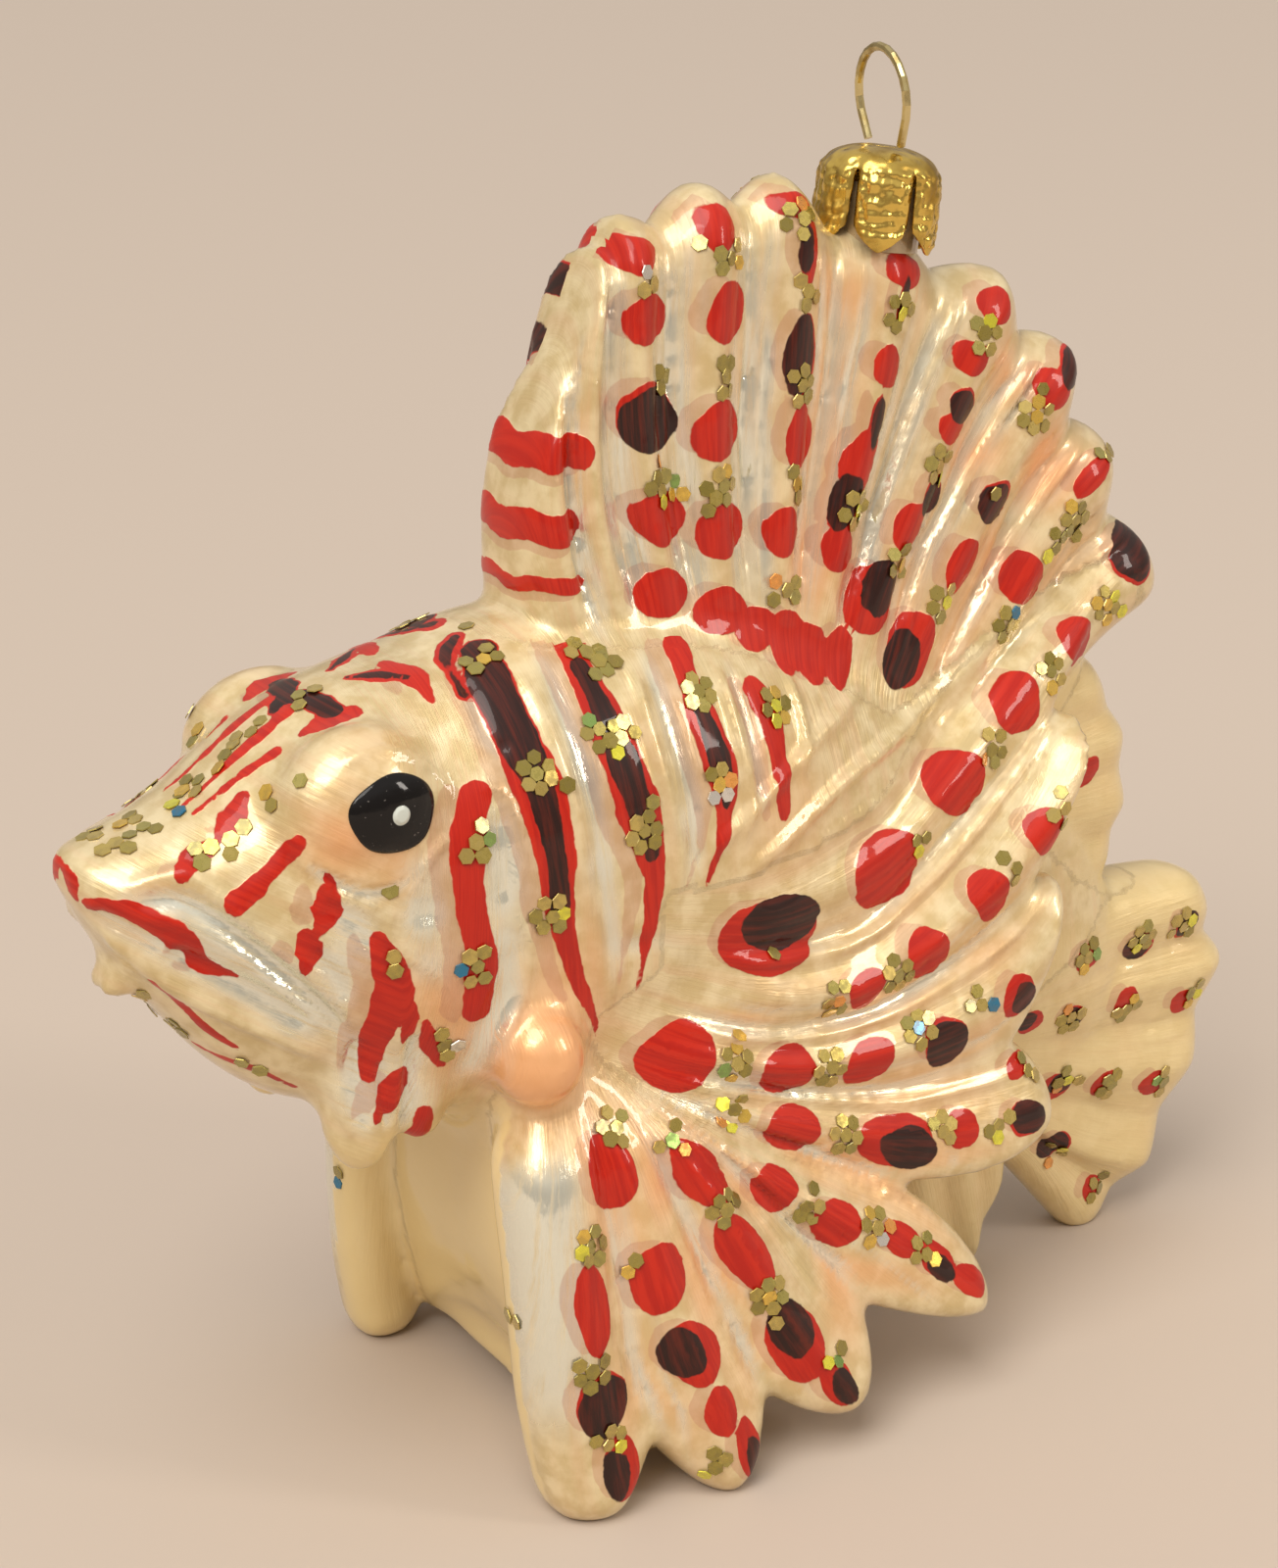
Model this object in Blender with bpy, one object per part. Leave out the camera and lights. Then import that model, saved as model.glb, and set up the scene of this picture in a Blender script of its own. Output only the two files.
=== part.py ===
"""A blown-glass hanging ornament in the form of a red lionfish, with a stamped cap and a wire loop.

Blender works in metres, +Z up. Sizes below are millimetres and are multiplied by MM.
The fish faces -X, its left side is -Y, and it stands on the floor at Z = 0.
"""

from math import cos, pi, radians, sin

import bmesh
import bpy
import numpy as np
from mathutils import Matrix, Vector

MM = 0.001
GAP = 0.3
EDGE_FULLNESS = 0.8
PAST_ALL = 60.0

# Head and trunk sections: x, top, bottom, half width, height of the widest place
SECTIONS = (
    (-63.7, 63.4, 61.0, 1.8, 62.2),
    (-62.6, 64.2, 58.8, 4.2, 61.6),
    (-60.2, 64.8, 54.2, 6.4, 60.4),
    (-56.0, 66.0, 48.2, 8.6, 59.0),
    (-52.0, 68.0, 43.2, 10.4, 58.0),
    (-47.5, 71.2, 39.6, 12.4, 57.0),
    (-42.0, 74.2, 37.4, 13.8, 56.5),
    (-36.0, 75.6, 36.0, 15.4, 56.5),
    (-30.0, 76.8, 33.0, 16.2, 57.0),
    (-24.0, 78.2, 30.0, 16.6, 57.0),
    (-15.0, 78.6, 27.0, 16.4, 56.0),
    (-5.0, 77.4, 25.0, 15.8, 54.0),
    (5.0, 74.0, 23.5, 13.8, 53.0),
    (15.0, 70.0, 22.5, 11.6, 50.0),
    (25.0, 65.0, 21.5, 9.4, 46.0),
    (35.0, 57.0, 20.5, 7.6, 39.0),
    (43.0, 46.0, 20.0, 6.2, 32.0),
    (48.0, 38.0, 22.0, 4.0, 30.0),
)
SQUARENESS = 2.25

# Fin rays as lists of x, y, z from the root, sunk in the body, out to the tip.
# A build is: half thickness at root and tip, depth between rays, columns between rays, rows along them.
# A notch is how far the rim draws in between two rays, as a share of their length.
DORSAL_RAYS = (
    ((-15.8, 0, 68), (-18.0, 0, 79), (-19.3, 0, 87), (-19.2, 0, 93), (-18.0, 0, 98)),
    ((-13.0, 0, 68), (-14.6, 0, 79), (-16.0, 0, 90), (-15.4, 0, 100), (-13.2, 0, 109)),
    ((-8.4, 0, 67), (-9.3, 0, 79), (-11.2, 0, 95), (-10.8, 0, 111.4)),
    ((-3.0, 0, 66), (-3.4, 0, 78), (-3.8, 0, 95), (-2.2, 0, 113.6)),
    ((1.0, 0, 64), (2.6, 0, 76), (4.6, 0, 95), (6.4, 0, 113.8)),
    ((4.0, 0, 62), (7.0, 0, 73.5), (12.3, 0, 89), (17.5, 0, 108.4)),
    ((8.0, 0, 60), (13.8, 0, 75), (22.4, 0, 91), (31.0, 0, 103)),
    ((12.0, 0, 58), (18.6, 0, 70), (29.0, 0, 85), (39.6, 0, 95)),
    ((16.0, 0, 56), (27.0, 0, 68), (36.5, 0, 79), (44.8, 0, 84.8)),
    ((20.0, 0, 52), (30.2, 0, 62), (39.5, 0, 69.5), (50.4, 0, 73.8)),
)
DORSAL_NOTCHES = (0.0, 0.02, 0.05, 0.05, 0.06, 0.05, 0.06, 0.07, 0.07)
DORSAL_BUILD = (8.0, 5.0, 1.5, 6, 20)
SOFT_DORSAL_RAYS = (
    ((24.0, 0, 56), (36.0, 0, 59.5), (45.6, 0, 61)),
    ((24.0, 0, 52), (38.0, 0, 54.5), (49.0, 0, 55)),
    ((25.0, 0, 48), (39.0, 0, 48), (49.6, 0, 47.5)),
    ((26.0, 0, 44), (38.0, 0, 43), (47.6, 0, 42)),
)
SOFT_DORSAL_NOTCHES = (0.02, 0.02, 0.02)
SOFT_DORSAL_BUILD = (7.0, 3.8, 0.5, 5, 12)
TAIL_RAYS = (
    ((31.0, 0, 32), (45.0, 0, 34), (61.6, 0, 34)),
    ((31.0, 0, 28), (46.0, 0, 27.8), (64.15, 0, 27.4)),
    ((31.0, 0, 24), (46.0, 0, 19), (61.2, 0, 16)),
    ((31.0, 0, 20), (44.0, 0, 10), (56.0, 0, 5)),
    ((29.0, 0, 19), (39.0, 0, 11), (49.0, 0, -0.7)),
)
TAIL_NOTCHES = (0.04, 0.04, 0.04, 0.04)
TAIL_FULLNESS = (1, 1, 0.95, 0.8, 0.6)
TAIL_BUILD = (6.0, 4.6, 1.0, 5, 14)
ANAL_RAYS = (
    ((13.0, 0, 28), (17.0, 0, 18), (20.5, 0, 9)),
    ((19.0, 0, 28), (22.5, 0, 14), (26.5, 0, 2)),
    ((25.0, 0, 28), (28.0, 0, 14), (32.0, 0, -0.9)),
    ((29.0, 0, 28), (31.5, 0, 16), (34.4, 0, 6)),
)
ANAL_NOTCHES = (0.03, 0.03, 0.03)
ANAL_BUILD = (6.0, 3.4, 0.5, 5, 12)

# The left fin, through the middle of its thickness. The right one is its mirror image.
PECTORAL_RAYS = (
    ((-14, -13, 54), (-4, -12, 51.5), (9, -10, 52.5), (19, -8, 57.6),
     (28, -5.8, 63.4), (36, -3.6, 68), (43, -1.6, 71)),
    ((-14, -12.5, 48), (-4, -13, 43.6), (6, -12.6, 42), (14, -12.2, 44.3),
     (21, -12, 48), (28, -11.6, 53), (35, -11, 60)),
    ((-20, -12.5, 44), (-13, -13.6, 40), (-3.6, -13.8, 36.8), (6.4, -13.7, 35.2),
     (16, -13.6, 36), (24, -13.4, 38.6), (31, -13, 45)),
    ((-20, -12.5, 40), (-12.3, -14.2, 35.5), (-3.1, -14.6, 31.3), (8.6, -14.8, 27),
     (16, -15, 25.2), (23, -15.1, 23.8), (29.4, -15, 23.6)),
    ((-20, -13, 38.5), (-12.8, -15, 32.6), (-6.3, -16.1, 27.4),
     (1, -17.1, 22.1), (7.6, -18.1, 17.2), (18.2, -19.8, 7.6)),
    ((-21, -13, 39), (-16, -15, 33), (-12.3, -16.8, 27.4),
     (-9.2, -18.3, 21.3), (-5.6, -20.2, 13.5), (0.8, -22.4, 3.6)),
    ((-22.5, -13, 40), (-21.2, -15.2, 32.6), (-19, -17.4, 23.2),
     (-16.6, -19.6, 14), (-14.4, -20.8, 7.8), (-12.8, -22, -0.9)),
    ((-25.6, -13, 40), (-26.8, -15.8, 30), (-27, -17.6, 20.7),
     (-26.8, -18.6, 11.2), (-26, -19.2, 4.4), (-25, -19.6, -0.7)),
)
PECTORAL_NOTCHES = (0.13, 0.14, 0.12, 0.33, 0.2, 0.16, 0.16)
PECTORAL_FULLNESS = (1, 1, 1, 1, 1, 1.05, 1.1, 1.12)
PECTORAL_BUILD = (4.6, 3.7, 1.3, 6, 22)

# Breast between the paired fins, as level sections: z, front x, back x, half width
BREAST = (
    (7.8, -25.2, -8.0, 17.0),
    (9.4, -26.6, -7.0, 17.0),
    (12.2, -27.8, -6.0, 17.0),
    (16.0, -29.2, -5.0, 16.8),
    (22.0, -30.4, -3.0, 16.4),
    (32.0, -30.6, 2.0, 15.8),
    (42.0, -30.0, 4.0, 14.6),
    (50.0, -27.0, 2.0, 13.0),
)
BREAST_SQUARENESS = 3.6
BREAST_HOLLOW = 2.4
ARCH_DROP = 6.6
ARCH_FADE = 10.0

# Rounded forms: centre and half sizes, on the left side
ORBIT = ((-40.2, -8.6, 67.0), (7.4, 6.0, 6.6))
BULB = ((-28.0, -15.4, 43.6), (4.1, 4.8, 4.7))
FLAP = ((-39.6, -9.0, 40.4), (6.0, 3.4, 7.0))
EYE_PATCH = ((-40.3, 67.4), (4.0, 3.4))

# Stamped cap, wire loop and the glass neck under them
CAP_AT = (16.8, 0.0, 106.2)
CAP_LEAN = radians(8)
CAP_RADIUS = 5.6
CAP_INNER_RADIUS = 5.2
CAP_HEIGHT = 9.0
CAP_OUTER_PROFILE = ((0.0, 1.0), (1.2, 1.02), (6.4, 1.0), (7.6, 0.93), (8.4, 0.74), (CAP_HEIGHT, 0.42))
CAP_INNER_PROFILE = ((7.9, 0.42), (7.4, 0.8), (6.2, 0.9), (0.0, 0.9))
CAP_STEPS = 60
CAP_LOBES = 6
LOBE_DEPTH = 0.55
LOBE_TOP = 7.0
LOBE_POINT = 0.9
POCKET_HEIGHT = 30.0
NECK_RADIUS = 4.3
NECK_HEIGHT = 5.8
LOOP_TURN = radians(8)
LOOP_LEAN = radians(-12)
WIRE_RADIUS = 0.4
LOOP_WIDTH = 9.6
LOOP_FOOT_WIDTH = 6.8
LOOP_HEIGHT = 8.8
EYE_OVERRUN = radians(20)
EYE_POINTS = 15

# Fineness of the faceted glass
BODY_POINTS_ROUND = 40
BREAST_POINTS_ROUND = 48
CURVE_STEPS = 8
SHARP_EDGE = radians(40)
VOXEL = 0.9
SMOOTHING_TURNS = 4
GLASS_TRIANGLES = 9400

# Thin cuts that part the glass, as x, z lines through the fish
HEAD_CUT = ((-25.5, 92), (-28.0, 78), (-31.0, 66), (-33.0, 55), (-34.4, 45), (-34.6, 20))
DORSAL_CUT = ((-45, 81), (-24.5, 79), (-15, 77.2), (-4, 75.4), (6, 72), (17, 68.6), (30, 65), (60, 62.5))
SOFT_DORSAL_CUT = ((34, 72), (35, 63.5), (38, 50), (43.5, 41.2), (72, 40.6))
TAIL_CUT = ((44.5, 42.5), (40.5, 36), (38, 28), (36, 18), (35, 9), (36.8, -8))
ANAL_CUT = ((6, 25), (16, 20.5), (26, 19.3), (36.4, 18.2))
FIN_CUT_REACH = 11.5
PECTORAL_OUTLINE = (
    (-22.5, 44.5), (-18, 50), (-4, 47), (6, 46), (15, 48.6), (24, 54.5), (31, 62), (42, 66),
    (42, 22), (30, -8), (-42, -8), (-42, 36.5), (-31, 37.6), (-24, 38.2),
)
FLAP_OUTLINE = ((-48, 41.5), (-34.9, 41.5), (-34.9, 20), (-48, 20))
PECTORAL_CUT_AT = 11.5
BULB_CUT_AT = 12.4
EYE_CUT_AT = 10.4
FLAP_CUT_AT = 5.4

# Where each piece of the parted glass lies, by the middle of its box
PIECES = {
    "head": (-49, 0, 56),
    "trunk": (0, 0, 45),
    "dorsal_fin": (13, 0, 90),
    "soft_dorsal_fin": (42, 0, 52),
    "tail_fin": (50, 0, 20),
    "anal_fin": (26, 0, 10),
    "pectoral_fin_left": (-2, -17, 25),
    "pectoral_fin_right": (-2, 17, 25),
    "pectoral_base_left": (-28, -16, 44),
    "pectoral_base_right": (-28, 16, 44),
    "chin_flap_left": (-40, -9, 37),
    "chin_flap_right": (-40, 9, 37),
    "eye_left": (-40, -12.5, 67),
    "eye_right": (-40, 12.5, 67),
}

PEARL = (0.80, 0.70, 0.50, 1)
PEACH = (0.88, 0.55, 0.36, 1)
BLACK = (0.01, 0.01, 0.012, 1)
GOLD = (0.66, 0.48, 0.13, 1)


def clear_scene():
    for obj in list(bpy.data.objects):
        bpy.data.objects.remove(obj, do_unlink=True)


def material(name, color, roughness, metallic):
    made = bpy.data.materials.new(name)
    made.use_nodes = True
    shader = made.node_tree.nodes["Principled BSDF"]
    shader.inputs["Base Color"].default_value = color
    shader.inputs["Roughness"].default_value = roughness
    shader.inputs["Metallic"].default_value = metallic
    made.diffuse_color = color
    return made


def object_from(name, bm):
    """A linked object holding this mesh, with its faces turned outward."""
    bmesh.ops.recalc_face_normals(bm, faces=bm.faces)
    mesh = bpy.data.meshes.new(name)
    bm.to_mesh(mesh)
    bm.free()
    obj = bpy.data.objects.new(name, mesh)
    bpy.context.scene.collection.objects.link(obj)
    return obj


def finished(obj, finish):
    """Gives a piece its material, and smooth shading between its sharp edges."""
    obj.data.materials.append(finish)
    obj.data.shade_smooth()
    obj.data.set_sharp_from_angle(angle=SHARP_EDGE)


def loft(name, rings):
    """A closed solid through rings of equally many points."""
    bm = bmesh.new()
    loops = [[bm.verts.new(Vector(p) * MM) for p in ring] for ring in rings]
    count = len(loops[0])
    for low, high in zip(loops, loops[1:]):
        for k in range(count):
            bm.faces.new((low[k], low[(k + 1) % count], high[(k + 1) % count], high[k]))
    bm.faces.new(loops[0])
    bm.faces.new(reversed(loops[-1]))
    return object_from(name, bm)


def smooth_rows(rows, steps):
    """The rows of numbers, with more set between them along a smooth curve."""
    rows = np.array(rows, float)
    padded = np.vstack([2 * rows[0] - rows[1], rows, 2 * rows[-1] - rows[-2]])
    made = []
    for k in range(1, len(padded) - 2):
        a, b, c, d = padded[k - 1 : k + 3]
        for step in range(steps):
            t = step / steps
            bend = 2 * a - 5 * b + 4 * c - d
            twist = 3 * b - a - 3 * c + d
            made.append(b + 0.5 * ((c - a) * t + bend * t**2 + twist * t**3))
    made.append(rows[-1])
    return np.array(made)


def along(points, fractions):
    """Points at these fractions of the length of a smooth curve through the points given."""
    curve = smooth_rows(points, CURVE_STEPS)
    length = np.r_[0, np.cumsum(np.linalg.norm(np.diff(curve, axis=0), axis=1))]
    wanted = np.array(fractions) * length[-1]
    return np.column_stack([np.interp(wanted, length, curve[:, k]) for k in range(3)])


def squared(value, squareness):
    """A sine or cosine drawn out, so that the oval it makes is squarer than an ellipse."""
    return np.sign(value) * abs(value) ** (2 / squareness)


def body_form():
    around = np.linspace(0, 2 * pi, BODY_POINTS_ROUND, endpoint=False)
    rings = []
    for x, top, bottom, half, wide in smooth_rows(SECTIONS, 3):
        ring = []
        for a in around:
            up = squared(sin(a), SQUARENESS)
            reach = top - wide if up > 0 else wide - bottom
            ring.append((x, half * squared(cos(a), SQUARENESS), wide + up * reach))
        rings.append(ring)
    return loft("body_form", rings)


def breast_form():
    """The breast, hollowed in front between the two front fins and arched beneath."""
    around = np.linspace(0, 2 * pi, BREAST_POINTS_ROUND, endpoint=False)
    rings = []
    for z, front, back, half in smooth_rows(BREAST, 3):
        middle, reach = (front + back) / 2, (back - front) / 2
        ring = []
        for a in around:
            x = middle + reach * squared(cos(a), BREAST_SQUARENESS)
            y = half * squared(sin(a), BREAST_SQUARENESS)
            inward = max(0.0, 1 - (y / half) ** 2)
            if x < middle:
                x += BREAST_HOLLOW * inward
            fade = max(0.0, 1 - (z - BREAST[0][0]) / ARCH_FADE)
            ring.append((x, y, z - ARCH_DROP * fade * (y / half) ** 2))
        rings.append(ring)
    return loft("breast_form", rings)


def fan(name, rays, notches, build, fullness=None):
    """A closed fin: ridges along its rays, thinner membrane between them and a scalloped, rounded rim.

    fullness holds a factor on the thickness at each ray.
    """
    half_root, half_tip, ridge, between, rows = build
    fullness = fullness or (1,) * len(rays)
    turns = np.linspace(0, pi / 2, 5)
    columns = [(0, 0.0, sin(t) ** EDGE_FULLNESS, cos(t) ** EDGE_FULLNESS) for t in turns[:0:-1]]
    for gap in range(len(rays) - 1):
        columns += [(gap, step / between, 0.0, 1.0) for step in range(between)]
    columns.append((len(rays) - 2, 1.0, 0.0, 1.0))
    columns += [(len(rays) - 2, 1.0, -(sin(t) ** EDGE_FULLNESS), cos(t) ** EDGE_FULLNESS) for t in turns[1:]]
    length = np.mean([np.linalg.norm(np.diff(np.array(r, float), axis=0), axis=1).sum() for r in rays])
    rounded = half_tip / length
    down = np.r_[np.linspace(0, 1 - rounded, rows), 1 - rounded + rounded * np.sin(turns[1:])]
    thin = np.r_[np.ones(rows), np.cos(turns[1:])]
    sides = [[], []]
    for gap, part, off, full in columns:
        reach = 1 - notches[gap] * (1 - abs(cos(pi * part)))
        first = along(rays[gap], down * reach)
        second = along(rays[gap + 1], down * reach)
        middle = first * (1 - part) + second * part
        outward = first - second
        outward /= np.linalg.norm(outward, axis=1)[:, None]
        factor = fullness[gap] * (1 - part) + fullness[gap + 1] * part
        half = (half_root + (half_tip - half_root) * down) * factor
        middle = middle + outward * (half * off * np.sqrt(thin))[:, None]
        valley = ridge * sin(pi * part) ** 1.5 * np.clip(down * 2.5, 0, 1)
        half = np.maximum((half - valley) * thin * full, 0)
        for side, sign in enumerate((-1, 1)):
            sides[side].append(middle + np.outer(sign * half, (0, 1, 0)))
    bm = bmesh.new()
    grids = [[[bm.verts.new(Vector(p) * MM) for p in column] for column in side] for side in sides]
    last = len(down) - 1
    for grid in grids:
        for one, two in zip(grid, grid[1:]):
            for k in range(last):
                bm.faces.new((one[k], two[k], two[k + 1], one[k + 1]))
    near, far = grids
    for k in range(len(columns) - 1):
        bm.faces.new((near[k][0], near[k + 1][0], far[k + 1][0], far[k][0]))
    bmesh.ops.remove_doubles(bm, verts=bm.verts, dist=0.00001)
    bmesh.ops.dissolve_degenerate(bm, dist=0.00001, edges=bm.edges)
    bmesh.ops.triangulate(bm, faces=bm.faces)
    return object_from(name, bm)


def egg(name, centre, half, side=-1):
    """An ellipsoid. The centre is given for the left side, and side 1 mirrors it."""
    bm = bmesh.new()
    bmesh.ops.create_uvsphere(bm, u_segments=32, v_segments=16, radius=1)
    place = Matrix.Translation(Vector((centre[0], -side * centre[1], centre[2])) * MM)
    bmesh.ops.transform(bm, matrix=place @ Matrix.Diagonal((*(h * MM for h in half), 1)), verts=bm.verts)
    return object_from(name, bm)


def mirrored(rays):
    return tuple(tuple((x, -y, z) for x, y, z in ray) for ray in rays)


def glass_forms():
    """Every form that is blown as one piece of glass."""
    forms = [body_form(), breast_form()]
    forms.append(fan("dorsal_form", DORSAL_RAYS, DORSAL_NOTCHES, DORSAL_BUILD))
    forms.append(fan("soft_dorsal_form", SOFT_DORSAL_RAYS, SOFT_DORSAL_NOTCHES, SOFT_DORSAL_BUILD))
    forms.append(fan("tail_form", TAIL_RAYS, TAIL_NOTCHES, TAIL_BUILD, TAIL_FULLNESS))
    forms.append(fan("anal_form", ANAL_RAYS, ANAL_NOTCHES, ANAL_BUILD))
    for side, sign, rays in (("left", -1, PECTORAL_RAYS), ("right", 1, mirrored(PECTORAL_RAYS))):
        forms.append(fan("pectoral_form_" + side, rays, PECTORAL_NOTCHES, PECTORAL_BUILD, PECTORAL_FULLNESS))
        forms.append(egg("orbit_form_" + side, *ORBIT, sign))
        forms.append(egg("bulb_form_" + side, *BULB, sign))
        forms.append(egg("flap_form_" + side, *FLAP, sign))
    return forms


def collected(name, objects):
    """Moves the objects into one new collection, for a Boolean."""
    group = bpy.data.collections.new(name)
    bpy.context.scene.collection.children.link(group)
    for obj in objects:
        for old in list(obj.users_collection):
            old.objects.unlink(obj)
        group.objects.link(obj)
    return group


def remove_collection(group):
    for obj in list(group.objects):
        bpy.data.objects.remove(obj, do_unlink=True)
    bpy.data.collections.remove(group)


def apply(obj):
    """Replaces the object's mesh with the one that its modifiers make."""
    graph = bpy.context.evaluated_depsgraph_get()
    graph.update()
    made = bpy.data.meshes.new_from_object(obj.evaluated_get(graph))
    obj.modifiers.clear()
    obj.data = made


def boolean(obj, group, operation, solver="EXACT"):
    modifier = obj.modifiers.new(operation.lower(), "BOOLEAN")
    modifier.operation = operation
    modifier.operand_type = "COLLECTION"
    modifier.collection = group
    modifier.solver = solver
    apply(obj)
    remove_collection(group)


def blown_glass():
    """All glass forms joined, softened as blown glass is, and made light in triangles."""
    forms = glass_forms()
    glass = forms[0]
    glass.name = "glass"
    boolean(glass, collected("forms", forms[1:]), "UNION", "MANIFOLD")
    remesh = glass.modifiers.new("even", "REMESH")
    remesh.mode = "VOXEL"
    remesh.voxel_size = VOXEL * MM
    smooth = glass.modifiers.new("soften", "SMOOTH")
    smooth.factor = 0.5
    smooth.iterations = SMOOTHING_TURNS
    apply(glass)
    glass.data.calc_loop_triangles()
    fewer = glass.modifiers.new("fewer", "DECIMATE")
    fewer.ratio = GLASS_TRIANGLES / len(glass.data.loop_triangles)
    apply(glass)
    return glass


def sheet(name, line, reach):
    """A cutting wall GAP thick through a line of x, z points, reaching this far to each side."""
    bm = bmesh.new()
    near = [bm.verts.new(Vector((x, -reach, z)) * MM) for x, z in line]
    far = [bm.verts.new(Vector((x, reach, z)) * MM) for x, z in line]
    for k in range(len(line) - 1):
        bm.faces.new((near[k], near[k + 1], far[k + 1], far[k]))
    return thickened(name, bm)


def cup(name, outline, floor, side):
    """A cutting cup GAP thick: a floor at this distance from the middle, open away from the fish."""
    bm = bmesh.new()
    inner = [bm.verts.new(Vector((x, side * floor, z)) * MM) for x, z in outline]
    outer = [bm.verts.new(Vector((x, side * PAST_ALL, z)) * MM) for x, z in outline]
    bm.faces.new(inner)
    for k in range(len(outline)):
        after = (k + 1) % len(outline)
        bm.faces.new((inner[k], inner[after], outer[after], outer[k]))
    return thickened(name, bm)


def thickened(name, bm):
    obj = object_from(name, bm)
    thick = obj.modifiers.new("thick", "SOLIDIFY")
    thick.thickness = GAP * MM
    thick.offset = 0
    apply(obj)
    bm = bmesh.new()
    bm.from_mesh(obj.data)
    bmesh.ops.triangulate(bm, faces=bm.faces)
    bmesh.ops.recalc_face_normals(bm, faces=bm.faces)
    bm.to_mesh(obj.data)
    bm.free()
    return obj


def ellipse(centre, half, count=24):
    turns = [2 * pi * k / count for k in range(count)]
    return [(centre[0] + half[0] * cos(t), centre[1] + half[1] * sin(t)) for t in turns]


def cutters():
    made = [
        sheet("head_cut", HEAD_CUT, PAST_ALL),
        sheet("dorsal_cut", DORSAL_CUT, FIN_CUT_REACH),
        sheet("soft_dorsal_cut", SOFT_DORSAL_CUT, FIN_CUT_REACH),
        sheet("tail_cut", TAIL_CUT, FIN_CUT_REACH),
        sheet("anal_cut", ANAL_CUT, FIN_CUT_REACH),
    ]
    bulb_ring = ellipse((BULB[0][0], BULB[0][2]), (BULB[1][0] + GAP, BULB[1][2] + GAP))
    for side in (-1, 1):
        made.append(cup("pectoral_cut", PECTORAL_OUTLINE, PECTORAL_CUT_AT, side))
        made.append(cup("bulb_cut", bulb_ring, BULB_CUT_AT, side))
        made.append(cup("eye_cut", ellipse(*EYE_PATCH), EYE_CUT_AT, side))
        made.append(cup("flap_cut", FLAP_OUTLINE, FLAP_CUT_AT, side))
    return made


def cap_frame():
    """The leaning frame of the cap: its origin is the middle of the cap's rim."""
    return Matrix.Translation(Vector(CAP_AT) * MM) @ Matrix.Rotation(CAP_LEAN, 4, "Y")


def cylinder(name, radius, low, high, frame):
    bm = bmesh.new()
    bmesh.ops.create_cone(
        bm, cap_ends=True, segments=32, radius1=radius * MM, radius2=radius * MM, depth=(high - low) * MM
    )
    bmesh.ops.transform(bm, matrix=frame @ Matrix.Translation((0, 0, (low + high) / 2 * MM)), verts=bm.verts)
    return object_from(name, bm)


def floor_cutter():
    bm = bmesh.new()
    bmesh.ops.create_cube(bm, size=1)
    deep = Matrix.Translation((0, 0, -PAST_ALL * MM))
    block = deep @ Matrix.Diagonal((4 * PAST_ALL * MM, 4 * PAST_ALL * MM, 2 * PAST_ALL * MM, 1))
    bmesh.ops.transform(bm, matrix=block, verts=bm.verts)
    return object_from("floor_cut", bm)


def loose_pieces(obj):
    """The object's separate closed surfaces, each as a mesh in world metres."""
    bm = bmesh.new()
    bm.from_mesh(obj.data)
    bm.faces.ensure_lookup_table()
    left = set(bm.faces)
    pieces = []
    while left:
        start = left.pop()
        found = {start}
        edge_of_search = [start]
        while edge_of_search:
            face = edge_of_search.pop()
            for edge in face.edges:
                for other in edge.link_faces:
                    if other in left:
                        left.discard(other)
                        found.add(other)
                        edge_of_search.append(other)
        pieces.append([[tuple(v.co) for v in face.verts] for face in found])
    bm.free()
    return pieces


def part_glass(glass, materials):
    """Cuts the glass into its named pieces, keeping the largest surface near each name's place."""
    pocket = cylinder("pocket", CAP_RADIUS + GAP, -GAP, POCKET_HEIGHT, cap_frame())
    boolean(glass, collected("cuts", cutters() + [floor_cutter(), pocket]), "DIFFERENCE")
    best = {}
    for faces in loose_pieces(glass):
        corners = np.array([p for face in faces for p in face]) / MM
        low, high = corners.min(axis=0), corners.max(axis=0)
        middle = (low + high) / 2
        name = min(PIECES, key=lambda n: np.linalg.norm(middle - np.array(PIECES[n])))
        size = float(np.prod(high - low))
        if name not in best or size > best[name][0]:
            best[name] = (size, faces)
    for name in PIECES:
        bm = bmesh.new()
        for face in best[name][1]:
            bm.faces.new([bm.verts.new(p) for p in face])
        bmesh.ops.remove_doubles(bm, verts=bm.verts, dist=1e-8)
        bmesh.ops.triangulate(bm, faces=bm.faces)
        obj = object_from(name, bm)
        finished(obj, materials.get(name.rsplit("_", 1)[0], materials["glass"]))
    bpy.data.objects.remove(glass, do_unlink=True)


def cap(metal):
    """The stamped cap: a domed cup with lobes pressed into its skirt."""
    bm = bmesh.new()
    rings = []
    for profile, radius in ((CAP_OUTER_PROFILE, CAP_RADIUS), (CAP_INNER_PROFILE, CAP_INNER_RADIUS)):
        outside = radius == CAP_RADIUS
        for height, part in profile:
            ring = []
            for step in range(CAP_STEPS):
                turn = 2 * pi * step / CAP_STEPS
                lobe = abs(cos(CAP_LOBES * turn / 2))
                groove = LOBE_DEPTH * (1 - lobe) ** 2 if outside and height < LOBE_TOP else 0
                lift = LOBE_POINT * (1 - lobe) if height == 0 else 0
                out = radius * part - groove
                ring.append(bm.verts.new(Vector((out * cos(turn), out * sin(turn), height + lift)) * MM))
            rings.append(ring)
    top = len(CAP_OUTER_PROFILE) - 1
    for k, low in enumerate(rings):
        if k == top:
            bm.faces.new(rings[top])
            bm.faces.new(rings[top + 1])
            continue
        high = rings[(k + 1) % len(rings)]
        for step in range(CAP_STEPS):
            after = (step + 1) % CAP_STEPS
            bm.faces.new((low[step], low[after], high[after], high[step]))
    bmesh.ops.triangulate(bm, faces=bm.faces)
    bmesh.ops.transform(bm, matrix=cap_frame(), verts=bm.verts)
    finished(object_from("cap", bm), metal)


def neck(glass_finish):
    finished(cylinder("neck", NECK_RADIUS, 0, NECK_HEIGHT, cap_frame()), glass_finish)


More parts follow.
